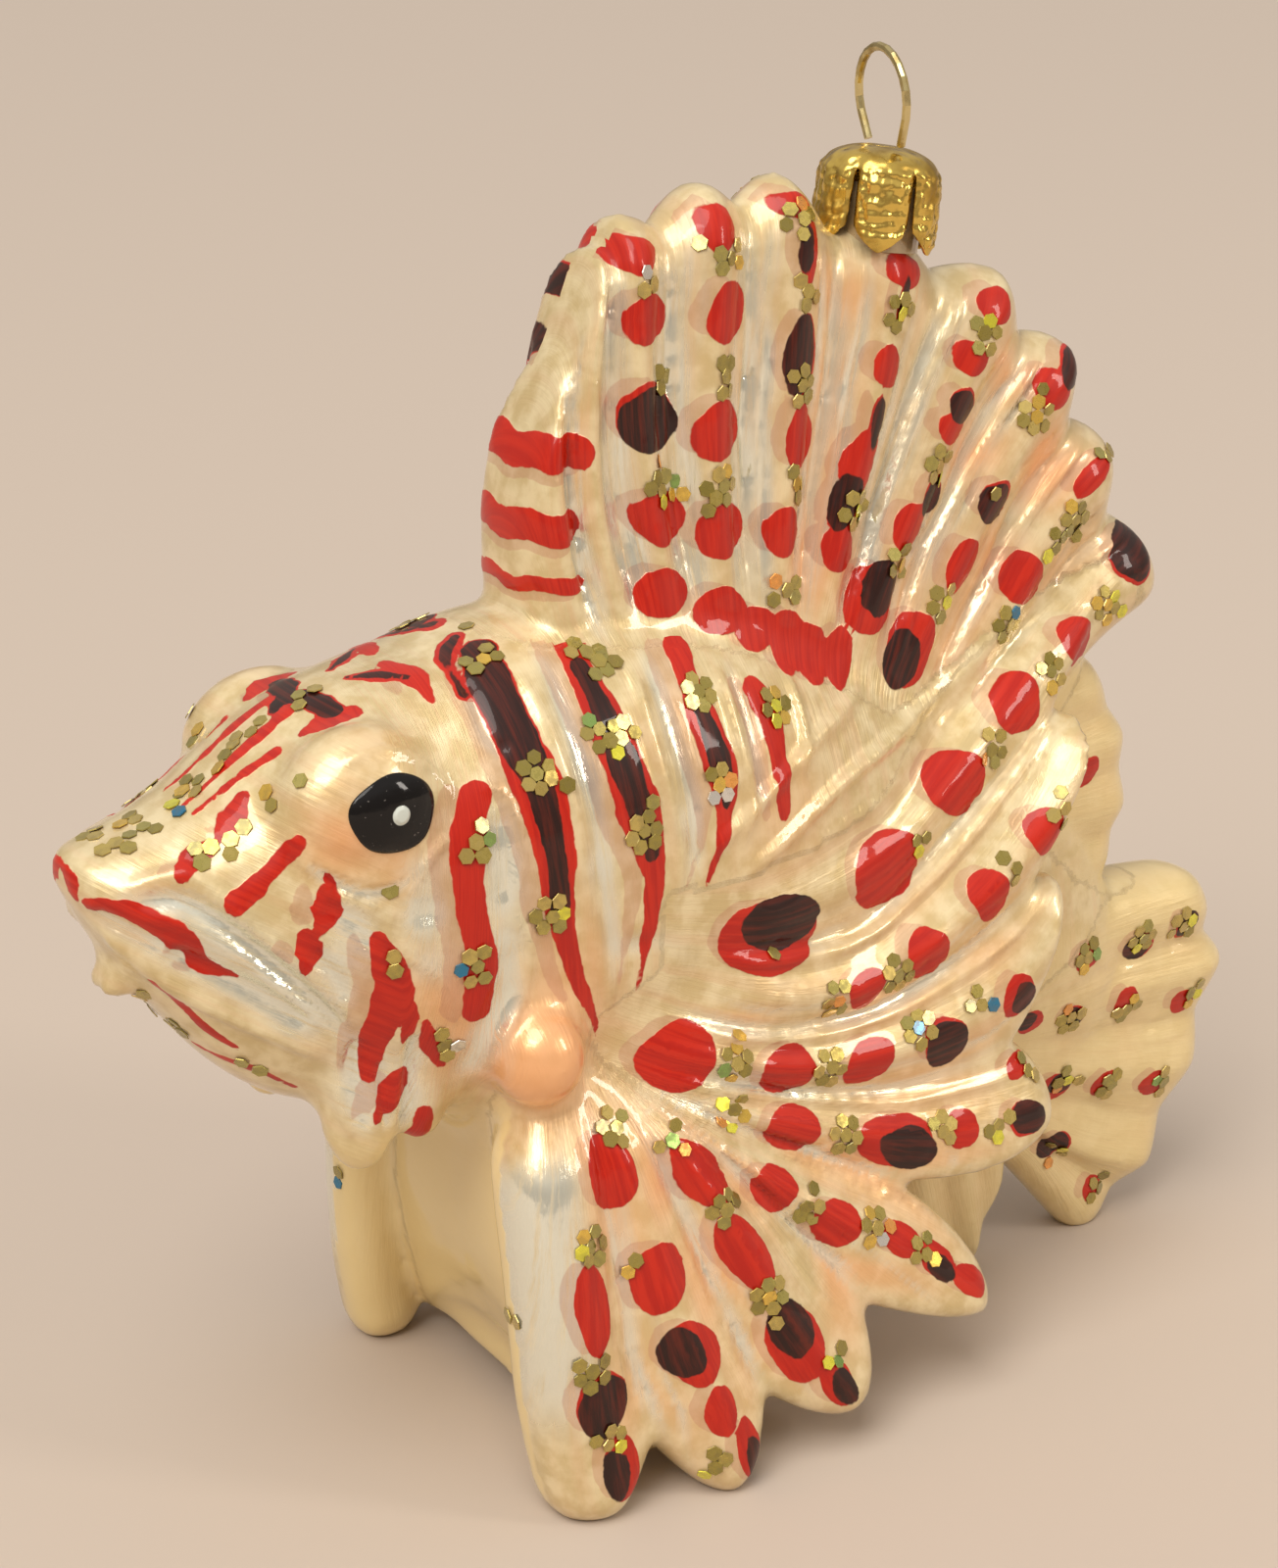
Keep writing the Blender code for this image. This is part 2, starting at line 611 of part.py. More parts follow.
def hanger_loop(metal):
    """The wire loop: two feet on the cap, spreading to a round eye."""
    curve = bpy.data.curves.new("hanger_loop", "CURVE")
    curve.dimensions = "3D"
    curve.bevel_depth = WIRE_RADIUS * MM
    curve.bevel_resolution = 2
    curve.use_fill_caps = True
    half, foot = LOOP_WIDTH / 2 - WIRE_RADIUS, LOOP_FOOT_WIDTH / 2 - WIRE_RADIUS
    rise = LOOP_HEIGHT - half - WIRE_RADIUS
    points = [(-foot, 0.0)]
    for turn in np.linspace(-EYE_OVERRUN, pi + EYE_OVERRUN, EYE_POINTS):
        points.append((-half * cos(turn), rise + half * sin(turn)))
    points.append((foot, 0.0))
    spline = curve.splines.new("POLY")
    spline.points.add(len(points) - 1)
    for point, (across, up) in zip(spline.points, points):
        point.co = (0, across * MM, up * MM, 1)
    obj = bpy.data.objects.new("hanger_loop", curve)
    bpy.context.scene.collection.objects.link(obj)
    top = Matrix.Translation((0, 0, (CAP_HEIGHT + GAP) * MM))
    turned = Matrix.Rotation(-LOOP_TURN, 4, "Z") @ Matrix.Rotation(LOOP_LEAN, 4, "Y")
    obj.matrix_world = cap_frame() @ top @ turned
    obj.data.materials.append(metal)


def build():
    clear_scene()
    materials = {
        "glass": material("pearl_glass", PEARL, 0.12, 0.0),
        "pectoral_base": material("peach_glass", PEACH, 0.1, 0.0),
        "eye": material("black_enamel", BLACK, 0.06, 0.0),
    }
    gold = material("gold_metal", GOLD, 0.3, 1.0)
    part_glass(blown_glass(), materials)
    neck(materials["glass"])
    cap(gold)
    hanger_loop(gold)


build()
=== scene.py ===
from math import cos, pi, radians, sin, tan

import bmesh
import bpy
import numpy as np
from mathutils import Matrix, Vector, kdtree
from mathutils.bvhtree import BVHTree


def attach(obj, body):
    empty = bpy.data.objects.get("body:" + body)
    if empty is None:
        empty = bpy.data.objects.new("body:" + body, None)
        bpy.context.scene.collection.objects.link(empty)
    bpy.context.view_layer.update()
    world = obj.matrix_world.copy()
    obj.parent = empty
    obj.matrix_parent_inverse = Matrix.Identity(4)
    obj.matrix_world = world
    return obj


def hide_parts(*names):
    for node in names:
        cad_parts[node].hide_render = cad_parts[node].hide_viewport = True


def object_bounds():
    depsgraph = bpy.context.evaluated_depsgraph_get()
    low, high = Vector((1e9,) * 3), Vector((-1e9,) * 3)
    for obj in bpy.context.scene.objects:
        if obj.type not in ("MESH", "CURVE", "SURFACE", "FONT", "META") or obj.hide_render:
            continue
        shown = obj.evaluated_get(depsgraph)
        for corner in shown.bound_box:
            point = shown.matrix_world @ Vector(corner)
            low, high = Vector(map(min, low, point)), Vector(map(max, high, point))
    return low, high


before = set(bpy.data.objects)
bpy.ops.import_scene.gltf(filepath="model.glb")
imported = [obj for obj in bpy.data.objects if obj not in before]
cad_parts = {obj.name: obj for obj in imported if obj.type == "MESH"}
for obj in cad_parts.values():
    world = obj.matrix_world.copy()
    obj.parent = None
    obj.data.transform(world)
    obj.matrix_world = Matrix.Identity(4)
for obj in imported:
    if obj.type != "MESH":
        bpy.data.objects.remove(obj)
cad_box = [list(corner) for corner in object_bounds()]

# Head, trunk and breast
# The body of the ornament is one hollow bubble of thin glass, blown into a two-part mould.
# Sizes are millimetres: the fish faces -X, its left side is -Y, and it stands at Z = 0.
MM = 0.001
GLASS_SECTIONS = (
    (-63.7, 63.4, 61.0, 1.8, 62.2),
    (-62.6, 64.2, 58.8, 4.2, 61.6),
    (-60.2, 64.8, 54.2, 6.4, 60.4),
    (-56.0, 66.0, 48.2, 8.6, 59.0),
    (-52.0, 68.0, 43.2, 10.4, 58.0),
    (-47.5, 71.2, 39.6, 12.4, 57.0),
    (-42.0, 74.2, 37.4, 13.8, 56.5),
    (-36.0, 75.6, 36.0, 15.4, 56.5),
    (-30.0, 76.8, 33.0, 16.2, 57.0),
    (-24.0, 78.2, 30.0, 16.6, 57.0),
    (-15.0, 78.6, 27.0, 16.4, 56.0),
    (-5.0, 77.4, 25.0, 15.8, 54.0),
    (5.0, 74.0, 23.5, 13.8, 53.0),
    (15.0, 70.0, 22.5, 11.6, 50.0),
    (25.0, 65.0, 21.5, 9.4, 46.0),
    (35.0, 57.0, 20.5, 7.6, 39.0),
    (43.0, 46.0, 20.0, 6.2, 32.0),
    (48.0, 38.0, 22.0, 4.0, 30.0),
)
BREAST_LEVELS = (
    (7.8, -25.2, -8.0, 17.0),
    (9.4, -26.6, -7.0, 17.0),
    (12.2, -27.8, -6.0, 17.0),
    (16.0, -29.2, -5.0, 16.8),
    (22.0, -30.4, -3.0, 16.4),
    (32.0, -30.6, 2.0, 15.8),
    (42.0, -30.0, 4.0, 14.6),
    (50.0, -27.0, 2.0, 13.0),
)
POINTS_ROUND = 72
CURVE_STEPS = 4
BODY_SQUARENESS = 2.25
BREAST_SQUARENESS = 3.6
BREAST_HOLLOW = 2.4
ARCH_DROP = 6.6
ARCH_FADE = 10.0


def mesh_piece(name, bm):
    """A linked object holding this mesh, with its faces turned outward."""
    bmesh.ops.recalc_face_normals(bm, faces=bm.faces)
    mesh = bpy.data.meshes.new(name)
    bm.to_mesh(mesh)
    bm.free()
    piece = bpy.data.objects.new(name, mesh)
    bpy.context.scene.collection.objects.link(piece)
    return piece


def loft(name, rings):
    """A closed form through rings of equally many points."""
    bm = bmesh.new()
    loops = [[bm.verts.new(Vector(p) * MM) for p in ring] for ring in rings]
    count = len(loops[0])
    for low, high in zip(loops, loops[1:]):
        for k in range(count):
            bm.faces.new((low[k], low[(k + 1) % count], high[(k + 1) % count], high[k]))
    bm.faces.new(loops[0])
    bm.faces.new(reversed(loops[-1]))
    return mesh_piece(name, bm)


def smooth_rows(rows, steps):
    """The rows of numbers, with more set between them along a smooth curve."""
    rows = np.array(rows, float)
    padded = np.vstack([2 * rows[0] - rows[1], rows, 2 * rows[-1] - rows[-2]])
    made = []
    for k in range(1, len(padded) - 2):
        a, b, c, d = padded[k - 1 : k + 3]
        for step in range(steps):
            t = step / steps
            bend = 2 * a - 5 * b + 4 * c - d
            twist = 3 * b - a - 3 * c + d
            made.append(b + 0.5 * ((c - a) * t + bend * t**2 + twist * t**3))
    made.append(rows[-1])
    return np.array(made)


def squared(value, squareness):
    """A sine or cosine drawn out, so that the oval it makes is squarer than an ellipse."""
    return np.sign(value) * abs(value) ** (2 / squareness)


turns = np.linspace(0, 2 * pi, POINTS_ROUND, endpoint=False)
body_rings = []
for x, top, bottom, half, wide in smooth_rows(GLASS_SECTIONS, CURVE_STEPS):
    ups = [squared(sin(a), BODY_SQUARENESS) for a in turns]
    outs = [half * squared(cos(a), BODY_SQUARENESS) for a in turns]
    heights = [wide + up * (top - wide if up > 0 else wide - bottom) for up in ups]
    body_rings.append([(x, out, height) for out, height in zip(outs, heights)])
breast_rings = []
for z, front, back, half in smooth_rows(BREAST_LEVELS, CURVE_STEPS):
    ring = []
    for a in turns:
        reach = (back - front) / 2
        x = (front + back) / 2 + reach * squared(cos(a), BREAST_SQUARENESS)
        y = half * squared(sin(a), BREAST_SQUARENESS)
        if x < (front + back) / 2:
            x += BREAST_HOLLOW * max(0.0, 1 - (y / half) ** 2)
        fade = max(0.0, 1 - (z - BREAST_LEVELS[0][0]) / ARCH_FADE)
        ring.append((x, y, z - ARCH_DROP * fade * (y / half) ** 2))
    breast_rings.append(ring)
moulded = [loft("body_form", body_rings), loft("breast_form", breast_rings)]

# Fins
# The fins are blown in the same bubble: swollen rays with thinner glass between them and a rounded rim.
# Rays run from the root, inside the body, to the tip.
DORSAL_RAYS = (
    ((-15.8, 0, 68), (-18.0, 0, 79), (-19.3, 0, 87), (-19.2, 0, 93), (-18.0, 0, 98)),
    ((-13.0, 0, 68), (-14.6, 0, 79), (-16.0, 0, 90), (-15.4, 0, 100), (-13.2, 0, 109)),
    ((-8.4, 0, 67), (-9.3, 0, 79), (-11.2, 0, 95), (-10.8, 0, 111.4)),
    ((-3.0, 0, 66), (-3.4, 0, 78), (-3.8, 0, 95), (-2.2, 0, 113.6)),
    ((1.0, 0, 64), (2.6, 0, 76), (4.6, 0, 95), (6.4, 0, 113.8)),
    ((4.0, 0, 62), (7.0, 0, 73.5), (12.3, 0, 89), (17.5, 0, 108.4)),
    ((8.0, 0, 60), (13.8, 0, 75), (22.4, 0, 91), (31.0, 0, 103)),
    ((12.0, 0, 58), (18.6, 0, 70), (29.0, 0, 85), (39.6, 0, 95)),
    ((16.0, 0, 56), (27.0, 0, 68), (36.5, 0, 79), (44.8, 0, 84.8)),
    ((20.0, 0, 52), (30.2, 0, 62), (39.5, 0, 69.5), (50.4, 0, 73.8)),
)
SOFT_DORSAL_RAYS = (
    ((24.0, 0, 56), (36.0, 0, 59.5), (45.6, 0, 61)),
    ((24.0, 0, 52), (38.0, 0, 54.5), (49.0, 0, 55)),
    ((25.0, 0, 48), (39.0, 0, 48), (49.6, 0, 47.5)),
    ((26.0, 0, 44), (38.0, 0, 43), (47.6, 0, 42)),
)
TAIL_RAYS = (
    ((31.0, 0, 32), (45.0, 0, 34), (61.6, 0, 34)),
    ((31.0, 0, 28), (46.0, 0, 27.8), (64.15, 0, 27.4)),
    ((31.0, 0, 24), (46.0, 0, 19), (61.2, 0, 16)),
    ((31.0, 0, 20), (44.0, 0, 10), (56.0, 0, 5)),
    ((29.0, 0, 19), (39.0, 0, 11), (49.0, 0, -0.7)),
)
ANAL_RAYS = (
    ((13.0, 0, 28), (17.0, 0, 18), (20.5, 0, 9)),
    ((19.0, 0, 28), (22.5, 0, 14), (26.5, 0, 2)),
    ((25.0, 0, 28), (28.0, 0, 14), (32.0, 0, -0.9)),
    ((29.0, 0, 28), (31.5, 0, 16), (34.4, 0, 6)),
)
PECTORAL_RAYS = (
    ((-14, -13, 54), (-4, -12, 51.5), (9, -10, 52.5), (19, -8, 57.6),
     (28, -5.8, 63.4), (36, -3.6, 68), (43, -1.6, 71)),
    ((-14, -12.5, 48), (-4, -13, 43.6), (6, -12.6, 42), (14, -12.2, 44.3),
     (21, -12, 48), (28, -11.6, 53), (35, -11, 60)),
    ((-20, -12.5, 44), (-13, -13.6, 40), (-3.6, -13.8, 36.8), (6.4, -13.7, 35.2),
     (16, -13.6, 36), (24, -13.4, 38.6), (31, -13, 45)),
    ((-20, -12.5, 40), (-12.3, -14.2, 35.5), (-3.1, -14.6, 31.3), (8.6, -14.8, 27),
     (16, -15, 25.2), (23, -15.1, 23.8), (29.4, -15, 23.6)),
    ((-20, -13, 38.5), (-12.8, -15, 32.6), (-6.3, -16.1, 27.4),
     (1, -17.1, 22.1), (7.6, -18.1, 17.2), (18.2, -19.8, 7.6)),
    ((-21, -13, 39), (-16, -15, 33), (-12.3, -16.8, 27.4),
     (-9.2, -18.3, 21.3), (-5.6, -20.2, 13.5), (0.8, -22.4, 3.6)),
    ((-22.5, -13, 40), (-21.2, -15.2, 32.6), (-19, -17.4, 23.2),
     (-16.6, -19.6, 14), (-14.4, -20.8, 7.8), (-12.8, -22, -0.9)),
    ((-25.6, -13, 40), (-26.8, -15.8, 30), (-27, -17.6, 20.7),
     (-26.8, -18.6, 11.2), (-26, -19.2, 4.4), (-25, -19.6, -0.7)),
)
EDGE_FULLNESS = 0.8
EDGE_TURNS = 6
ROOT_TAPER = 0.2
HOLLOW_RISE = 0.25
MERGE = 0.00001


def fin_of(rays, notches, half_root, half_tip, ridge, plain=0.1, slim=1.0, fullness=None, mesh=(8, 24)):
    """What a fin is made from: its rays, how far its rim is notched between them, its half thickness at
    the root and the tip, the depth of its hollows, the share of a ray that stays plain at the root, how
    slim the root starts, how full each ray is, and the mesh between two rays and along one."""
    return {
        "rays": rays, "notches": notches, "half_root": half_root, "half_tip": half_tip, "ridge": ridge,
        "plain": plain, "slim": slim, "fullness": fullness or (1,) * len(rays), "mesh": mesh,
    }


def mirrored(rays):
    return tuple(tuple((x, -y, z) for x, y, z in ray) for ray in rays)


FINS = {
    "dorsal": fin_of(
        DORSAL_RAYS, (0.07, 0.04, 0.05, 0.05, 0.06, 0.05, 0.06, 0.07, 0.07),
        half_root=8.0, half_tip=5.0, ridge=1.5, plain=0.2, mesh=(10, 40),
    ),
    "soft_dorsal": fin_of(SOFT_DORSAL_RAYS, (0.02,) * 3, half_root=7.0, half_tip=3.8, ridge=0.5),
    "tail": fin_of(
        TAIL_RAYS, (0.04,) * 4, half_root=6.0, half_tip=4.6, ridge=1.0,
        fullness=(1, 1, 0.95, 0.8, 0.6), mesh=(8, 28),
    ),
    "anal": fin_of(ANAL_RAYS, (0.03,) * 3, half_root=6.0, half_tip=3.4, ridge=0.5),
}
for side_name, rays in (("pectoral_left", PECTORAL_RAYS), ("pectoral_right", mirrored(PECTORAL_RAYS))):
    FINS[side_name] = fin_of(
        rays, (0.13, 0.14, 0.12, 0.33, 0.2, 0.16, 0.16), half_root=4.6, half_tip=3.7, ridge=1.3,
        plain=0.02, slim=0.55, fullness=(1, 1, 1, 1, 1, 1.05, 1.1, 1.12), mesh=(10, 44),
    )


def along(points, fractions):
    """Points at these fractions of the length of a smooth curve through the points given."""
    curve = smooth_rows(points, 8)
    length = np.r_[0, np.cumsum(np.linalg.norm(np.diff(curve, axis=0), axis=1))]
    wanted = np.array(fractions) * length[-1]
    return np.column_stack([np.interp(wanted, length, curve[:, k]) for k in range(3)])


def eased(value, low, high):
    """A smooth rise from 0 to 1 between two values."""
    t = np.clip((value - low) / (high - low), 0, 1)
    return t * t * (3 - 2 * t)


def fin_column(fin, gap, part, down):
    """The middle line of a fin between two rays, its half thickness, and the way towards the first ray."""
    reach = 1 - fin["notches"][gap] * (1 - abs(cos(pi * part)))
    first = along(fin["rays"][gap], down * reach)
    second = along(fin["rays"][gap + 1], down * reach)
    factor = fin["fullness"][gap] * (1 - part) + fin["fullness"][gap + 1] * part
    half = (fin["half_root"] + (fin["half_tip"] - fin["half_root"]) * down) * factor
    half = half * (fin["slim"] + (1 - fin["slim"]) * eased(down, 0, ROOT_TAPER))
    valley = fin["ridge"] * sin(pi * part) ** 1.5 * eased(down, fin["plain"], fin["plain"] + HOLLOW_RISE)
    return first * (1 - part) + second * part, half, valley, first - second


def fan(name, fin):
    """A closed fin: ridges along its rays, thinner glass between them and a scalloped, rounded rim."""
    rays, (between, rows) = fin["rays"], fin["mesh"]
    turns = np.linspace(0, pi / 2, EDGE_TURNS)
    columns = [(0, 0.0, sin(t) ** EDGE_FULLNESS, cos(t) ** EDGE_FULLNESS) for t in turns[:0:-1]]
    for gap in range(len(rays) - 1):
        columns += [(gap, step / between, 0.0, 1.0) for step in range(between)]
    columns.append((len(rays) - 2, 1.0, 0.0, 1.0))
    columns += [(len(rays) - 2, 1.0, -(sin(t) ** EDGE_FULLNESS), cos(t) ** EDGE_FULLNESS) for t in turns[1:]]
    length = np.mean([np.linalg.norm(np.diff(np.array(r, float), axis=0), axis=1).sum() for r in rays])
    rounded = fin["half_tip"] / length
    down = np.r_[np.linspace(0, 1 - rounded, rows), 1 - rounded + rounded * np.sin(turns[1:])]
    thin = np.r_[np.ones(rows), np.cos(turns[1:])]
    sides = [[], []]
    for gap, part, off, full in columns:
        middle, half, valley, outward = fin_column(fin, gap, part, down)
        outward = outward / np.linalg.norm(outward, axis=1)[:, None]
        middle = middle + outward * (half * off * np.sqrt(thin))[:, None]
        half = np.maximum((half - valley) * thin * full, 0)
        for side, sign in enumerate((-1, 1)):
            sides[side].append(middle + np.outer(sign * half, (0, 1, 0)))
    bm = bmesh.new()
    grids = [[[bm.verts.new(Vector(p) * MM) for p in column] for column in side] for side in sides]
    for grid in grids:
        for one, two in zip(grid, grid[1:]):
            for k in range(len(down) - 1):
                bm.faces.new((one[k], two[k], two[k + 1], one[k + 1]))
    near, far = grids
    for k in range(len(columns) - 1):
        bm.faces.new((near[k][0], near[k + 1][0], far[k + 1][0], far[k][0]))
    bmesh.ops.remove_doubles(bm, verts=bm.verts, dist=MERGE)
    bmesh.ops.dissolve_degenerate(bm, dist=MERGE, edges=bm.edges)
    bmesh.ops.triangulate(bm, faces=bm.faces)
    return mesh_piece(name + "_form", bm)


moulded += [fan(name, fin) for name, fin in FINS.items()]

# Eye sockets, fin-root balls, chin flaps and barbel
# Rounded swellings of the same bubble, on either side of the head. Each chin flap has two lobes.
ORBIT = ((-40.6, -8.9, 67.0), (7.8, 5.6, 6.8))
BALL = ((-28.0, -15.4, 43.6), (4.1, 4.8, 4.7))
FRONT_LOBE = ((-41.7, -8.8, 41.4), (3.8, 3.3, 8.0))
REAR_LOBE = ((-36.4, -9.6, 42.6), (3.4, 3.0, 7.2))
BARBEL = ((-59.4, -1.0, 52.4), (2.2, 1.6, 1.5))
for centre, half in (ORBIT, BALL, FRONT_LOBE, REAR_LOBE, BARBEL):
    for side in (-1, 1):
        bm = bmesh.new()
        bmesh.ops.create_icosphere(bm, subdivisions=4, radius=1)
        place = Matrix.Translation(Vector((centre[0], -side * centre[1], centre[2])) * MM)
        swell = Matrix.Diagonal((*(h * MM for h in half), 1))
        bmesh.ops.transform(bm, matrix=place @ swell, verts=bm.verts)
        moulded.append(mesh_piece("swelling", bm))

# The glass skin
# All the forms run into one seamless wall of blown glass, soft at every corner. It stands on the
# tips of its lower fins, each worn to a small flat.
GRAIN = 0.56 * 1
SOFTENING = 7
HOLLOW_BLEND = 70
HOLLOW_SPREAD = 8
FULL_HOLLOW = 0.1
GROOVES_FROM = (0.2, 0.36)


def apply_modifiers(piece):
    """Replaces the piece's mesh with the one that its modifiers make."""
    graph = bpy.context.evaluated_depsgraph_get()
    graph.update()
    made = bpy.data.meshes.new_from_object(piece.evaluated_get(graph))
    piece.modifiers.clear()
    piece.data = made


skin = moulded[0]
skin.name = "glass_skin"
group = bpy.data.collections.new("forms")
bpy.context.scene.collection.children.link(group)
for form in moulded[1:]:
    bpy.context.scene.collection.objects.unlink(form)
    group.objects.link(form)
joined = skin.modifiers.new("joined", "BOOLEAN")
joined.operation = "UNION"
joined.operand_type = "COLLECTION"
joined.collection = group
joined.solver = "MANIFOLD"
even = skin.modifiers.new("even", "REMESH")
even.mode = "VOXEL"
even.voxel_size = GRAIN * MM
soft = skin.modifiers.new("soft", "SMOOTH")
soft.factor = 0.5
soft.iterations = SOFTENING
apply_modifiers(skin)
for form in moulded[1:]:
    bpy.data.objects.remove(form, do_unlink=True)
bpy.data.collections.remove(group)

count = len(skin.data.vertices)
points = np.empty(count * 3, np.float32)
skin.data.vertices.foreach_get("co", points)
points = points.reshape(-1, 3).astype(float) / MM
edges = np.empty(len(skin.data.edges) * 2, np.int32)
skin.data.edges.foreach_get("vertices", edges)
edges = edges.reshape(-1, 2)
joins = np.bincount(edges.ravel(), minlength=count)


def averaged(values):
    """For each point of the skin, the mean of the values at its neighbours."""
    one, two = edges.T
    sums = [
        np.bincount(one, column[two], count) + np.bincount(two, column[one], count)
        for column in values.reshape(count, -1).T
    ]
    return (np.array(sums) / joins).T.reshape(values.shape)


def facing():
    """The outward directions of the skin as it stands now."""
    skin.data.vertices.foreach_set("co", (points * MM).astype(np.float32).ravel())
    skin.data.update()
    normals = np.empty(count * 3, np.float32)
    skin.data.vertex_normals.foreach_get("vector", normals)
    return normals.reshape(-1, 3).astype(float)


# Where each point of the skin lies on the nearest fin: counted in rays across it, and from 0 at the
# root to 1 at the tip along it.
SAMPLES_ACROSS = 12
SAMPLES_ALONG = 61
FIN_MARGIN = 2.4
FIN_FADE = 2
MOST_ACROSS = 4
MOST_ALONG = 0.3
grids = []
for number, fin in enumerate(FINS.values()):
    down = np.linspace(0, 1, SAMPLES_ALONG)
    steps = (len(fin["rays"]) - 1) * SAMPLES_ACROSS
    middles, halves = [], []
    for step in range(steps + 1):
        gap = min(step // SAMPLES_ACROSS, len(fin["rays"]) - 2)
        middle, half, valley, outward = fin_column(fin, gap, step / SAMPLES_ACROSS - gap, down)
        middles.append(middle)
        halves.append(half)
    middles = np.array(middles)
    across = np.gradient(middles, axis=0) * SAMPLES_ACROSS
    lengthwise = np.gradient(middles, axis=1) * (SAMPLES_ALONG - 1)
    rays_in = np.repeat(np.arange(steps + 1) / SAMPLES_ACROSS, SAMPLES_ALONG)
    grids.append(np.column_stack([
        middles.reshape(-1, 3), across.reshape(-1, 3), lengthwise.reshape(-1, 3), np.array(halves).ravel(),
        rays_in, np.tile(down, steps + 1), np.full(len(rays_in), number),
    ]))
grids = np.vstack(grids)
finder = kdtree.KDTree(len(grids))
for k, sample in enumerate(grids):
    finder.insert(sample[:3], k)
finder.balance()
nearest = grids[[finder.find(p)[1] for p in points]]
away = points - nearest[:, :3]
ray_across, ray_along = nearest[:, 3:6], nearest[:, 6:9]
aa, bb = (ray_across**2).sum(axis=1), (ray_along**2).sum(axis=1)
ab = (ray_across * ray_along).sum(axis=1)
pa, pb = (away * ray_across).sum(axis=1), (away * ray_along).sum(axis=1)
solid = np.maximum(aa * bb - ab**2, 1e-6)
fin_u = nearest[:, 10] + np.clip((pa * bb - pb * ab) / solid, -MOST_ACROSS, MOST_ACROSS)
fin_v = nearest[:, 11] + np.clip((pb * aa - pa * ab) / solid, -MOST_ALONG, MOST_ALONG)
fin_number = nearest[:, 12].astype(int)
wide = np.sqrt(aa)
proud = np.linalg.norm(away, axis=1) - nearest[:, 9]
on_fin = np.clip((FIN_MARGIN - proud) / FIN_FADE, 0, 1)

# The hollows where the forms meet are filled to soft curves, and the grooves of the fins are left alone.
normals = facing()
hollow = ((averaged(points) - points) * normals).sum(axis=1)
fill = np.clip(hollow / (FULL_HOLLOW * GRAIN**2), 0, 1) * (1 - on_fin * eased(fin_v, *GROOVES_FROM))
for _ in range(HOLLOW_SPREAD):
    fill = np.maximum(fill, averaged(fill))
for _ in range(HOLLOW_BLEND):
    points += 0.5 * fill[:, None] * (averaged(points) - points)

# Folds and creases of the mould
# The mould presses ridges and grooves into the glass: lips, gill plates, folds of skin and fin creases.
# The silver inside the glass shows bare in the grooves, its light colour partly a painted reflection,
# and a peach lacquer tints some of the hollows.
BODY_RIDGES = (
    (0.55, 0.9, ((-61.7, 61.9), (-57.5, 63.0), (-55.2, 62.9), (-53, 59.9), (-50.4, 57.3), (-47.7, 54.3),
                 (-45.3, 51.1), (-43.0, 47.0))),
    (0.4, 0.7, ((-60.5, 60.4), (-57.5, 59.6), (-55.2, 58.3), (-52.3, 55.9), (-49.4, 52.7), (-46.2, 49.0))),
    (0.6, 1.0, ((-62.4, 59.0), (-60.4, 56.8), (-57.2, 53.4), (-53.2, 50.5), (-48.8, 47.9), (-45.6, 45.7))),
    (0.35, 0.5, ((-48.6, 66.9), (-46.8, 64.4), (-45.1, 63.1), (-42.9, 62.1), (-41, 61.7), (-38.6, 62.6))),
    (0.5, 0.6, ((-48.4, 65.2), (-45.6, 61.6), (-43.9, 60.2), (-42.2, 59.5), (-41.2, 57.6))),
    (0.4, 0.6, ((-39.4, 60.4), (-37.6, 62.6), (-35.4, 64.7))),
    (0.3, 0.5, ((-44.4, 71.4), (-42.4, 72.2), (-39.6, 72.3), (-37.0, 71.0), (-35.2, 68.8), (-34.6, 66.0))),
    (0.45, 0.6, ((-49.0, 61.4), (-46.6, 57.8), (-44.6, 53.2))),
    (0.3, 0.5, ((-44.2, 58.6), (-43.4, 55.2), (-43.2, 51.0))),
    (0.45, 0.6, ((-40.6, 60.4), (-41.0, 57.0), (-38.9, 54.4), (-36.9, 52.6), (-35.8, 50.2), (-35.2, 47.0))),
    (0.45, 0.5, ((-32.2, 68.4), (-30.2, 67.2), (-29.4, 63.3), (-30.3, 58.3))),
    (0.45, 0.5, ((-31.5, 57.2), (-29.0, 54.9), (-29.4, 49.6), (-31.6, 45.9), (-32.2, 42.0))),
    (0.5, 0.9, ((-25.3, 76.6), (-25.0, 71.5), (-24.2, 65.3), (-23.6, 58.2), (-22.0, 50.6), (-19.6, 44.6))),
    (0.5, 0.9, ((-15.2, 76.0), (-15.4, 70.0), (-14.6, 64.0), (-14.0, 58.4), (-14.8, 53.0))),
    (0.45, 0.8, ((-6.4, 73.6), (-6.2, 68.0), (-5.8, 62.6), (-7.4, 58.0))),
    (0.4, 0.8, ((1.6, 71.4), (1.8, 66.4), (0.4, 62.4))),
    (0.35, 0.9, ((-21.0, 78.2), (-17.0, 77.2), (-12.0, 76.6), (-7.0, 75.6))),
    (0.6, 1.1, ((-9.0, 54.6), (-2.3, 57.7), (5.7, 61.0), (14.8, 63.2), (23.5, 66.0), (31.0, 71.0))),
    (0.45, 1.0, ((-12.4, 57.6), (-5.6, 61.4), (2.6, 65.2), (10.3, 67.6), (17.0, 70.6))),
    (0.4, 0.8, ((-3.0, 54.6), (4.0, 56.8), (12.0, 58.4), (20.0, 61.6), (28.0, 66.4))),
    (0.35, 0.6, ((-44.4, 48.2), (-44.8, 43.0), (-43.6, 37.6))),
)
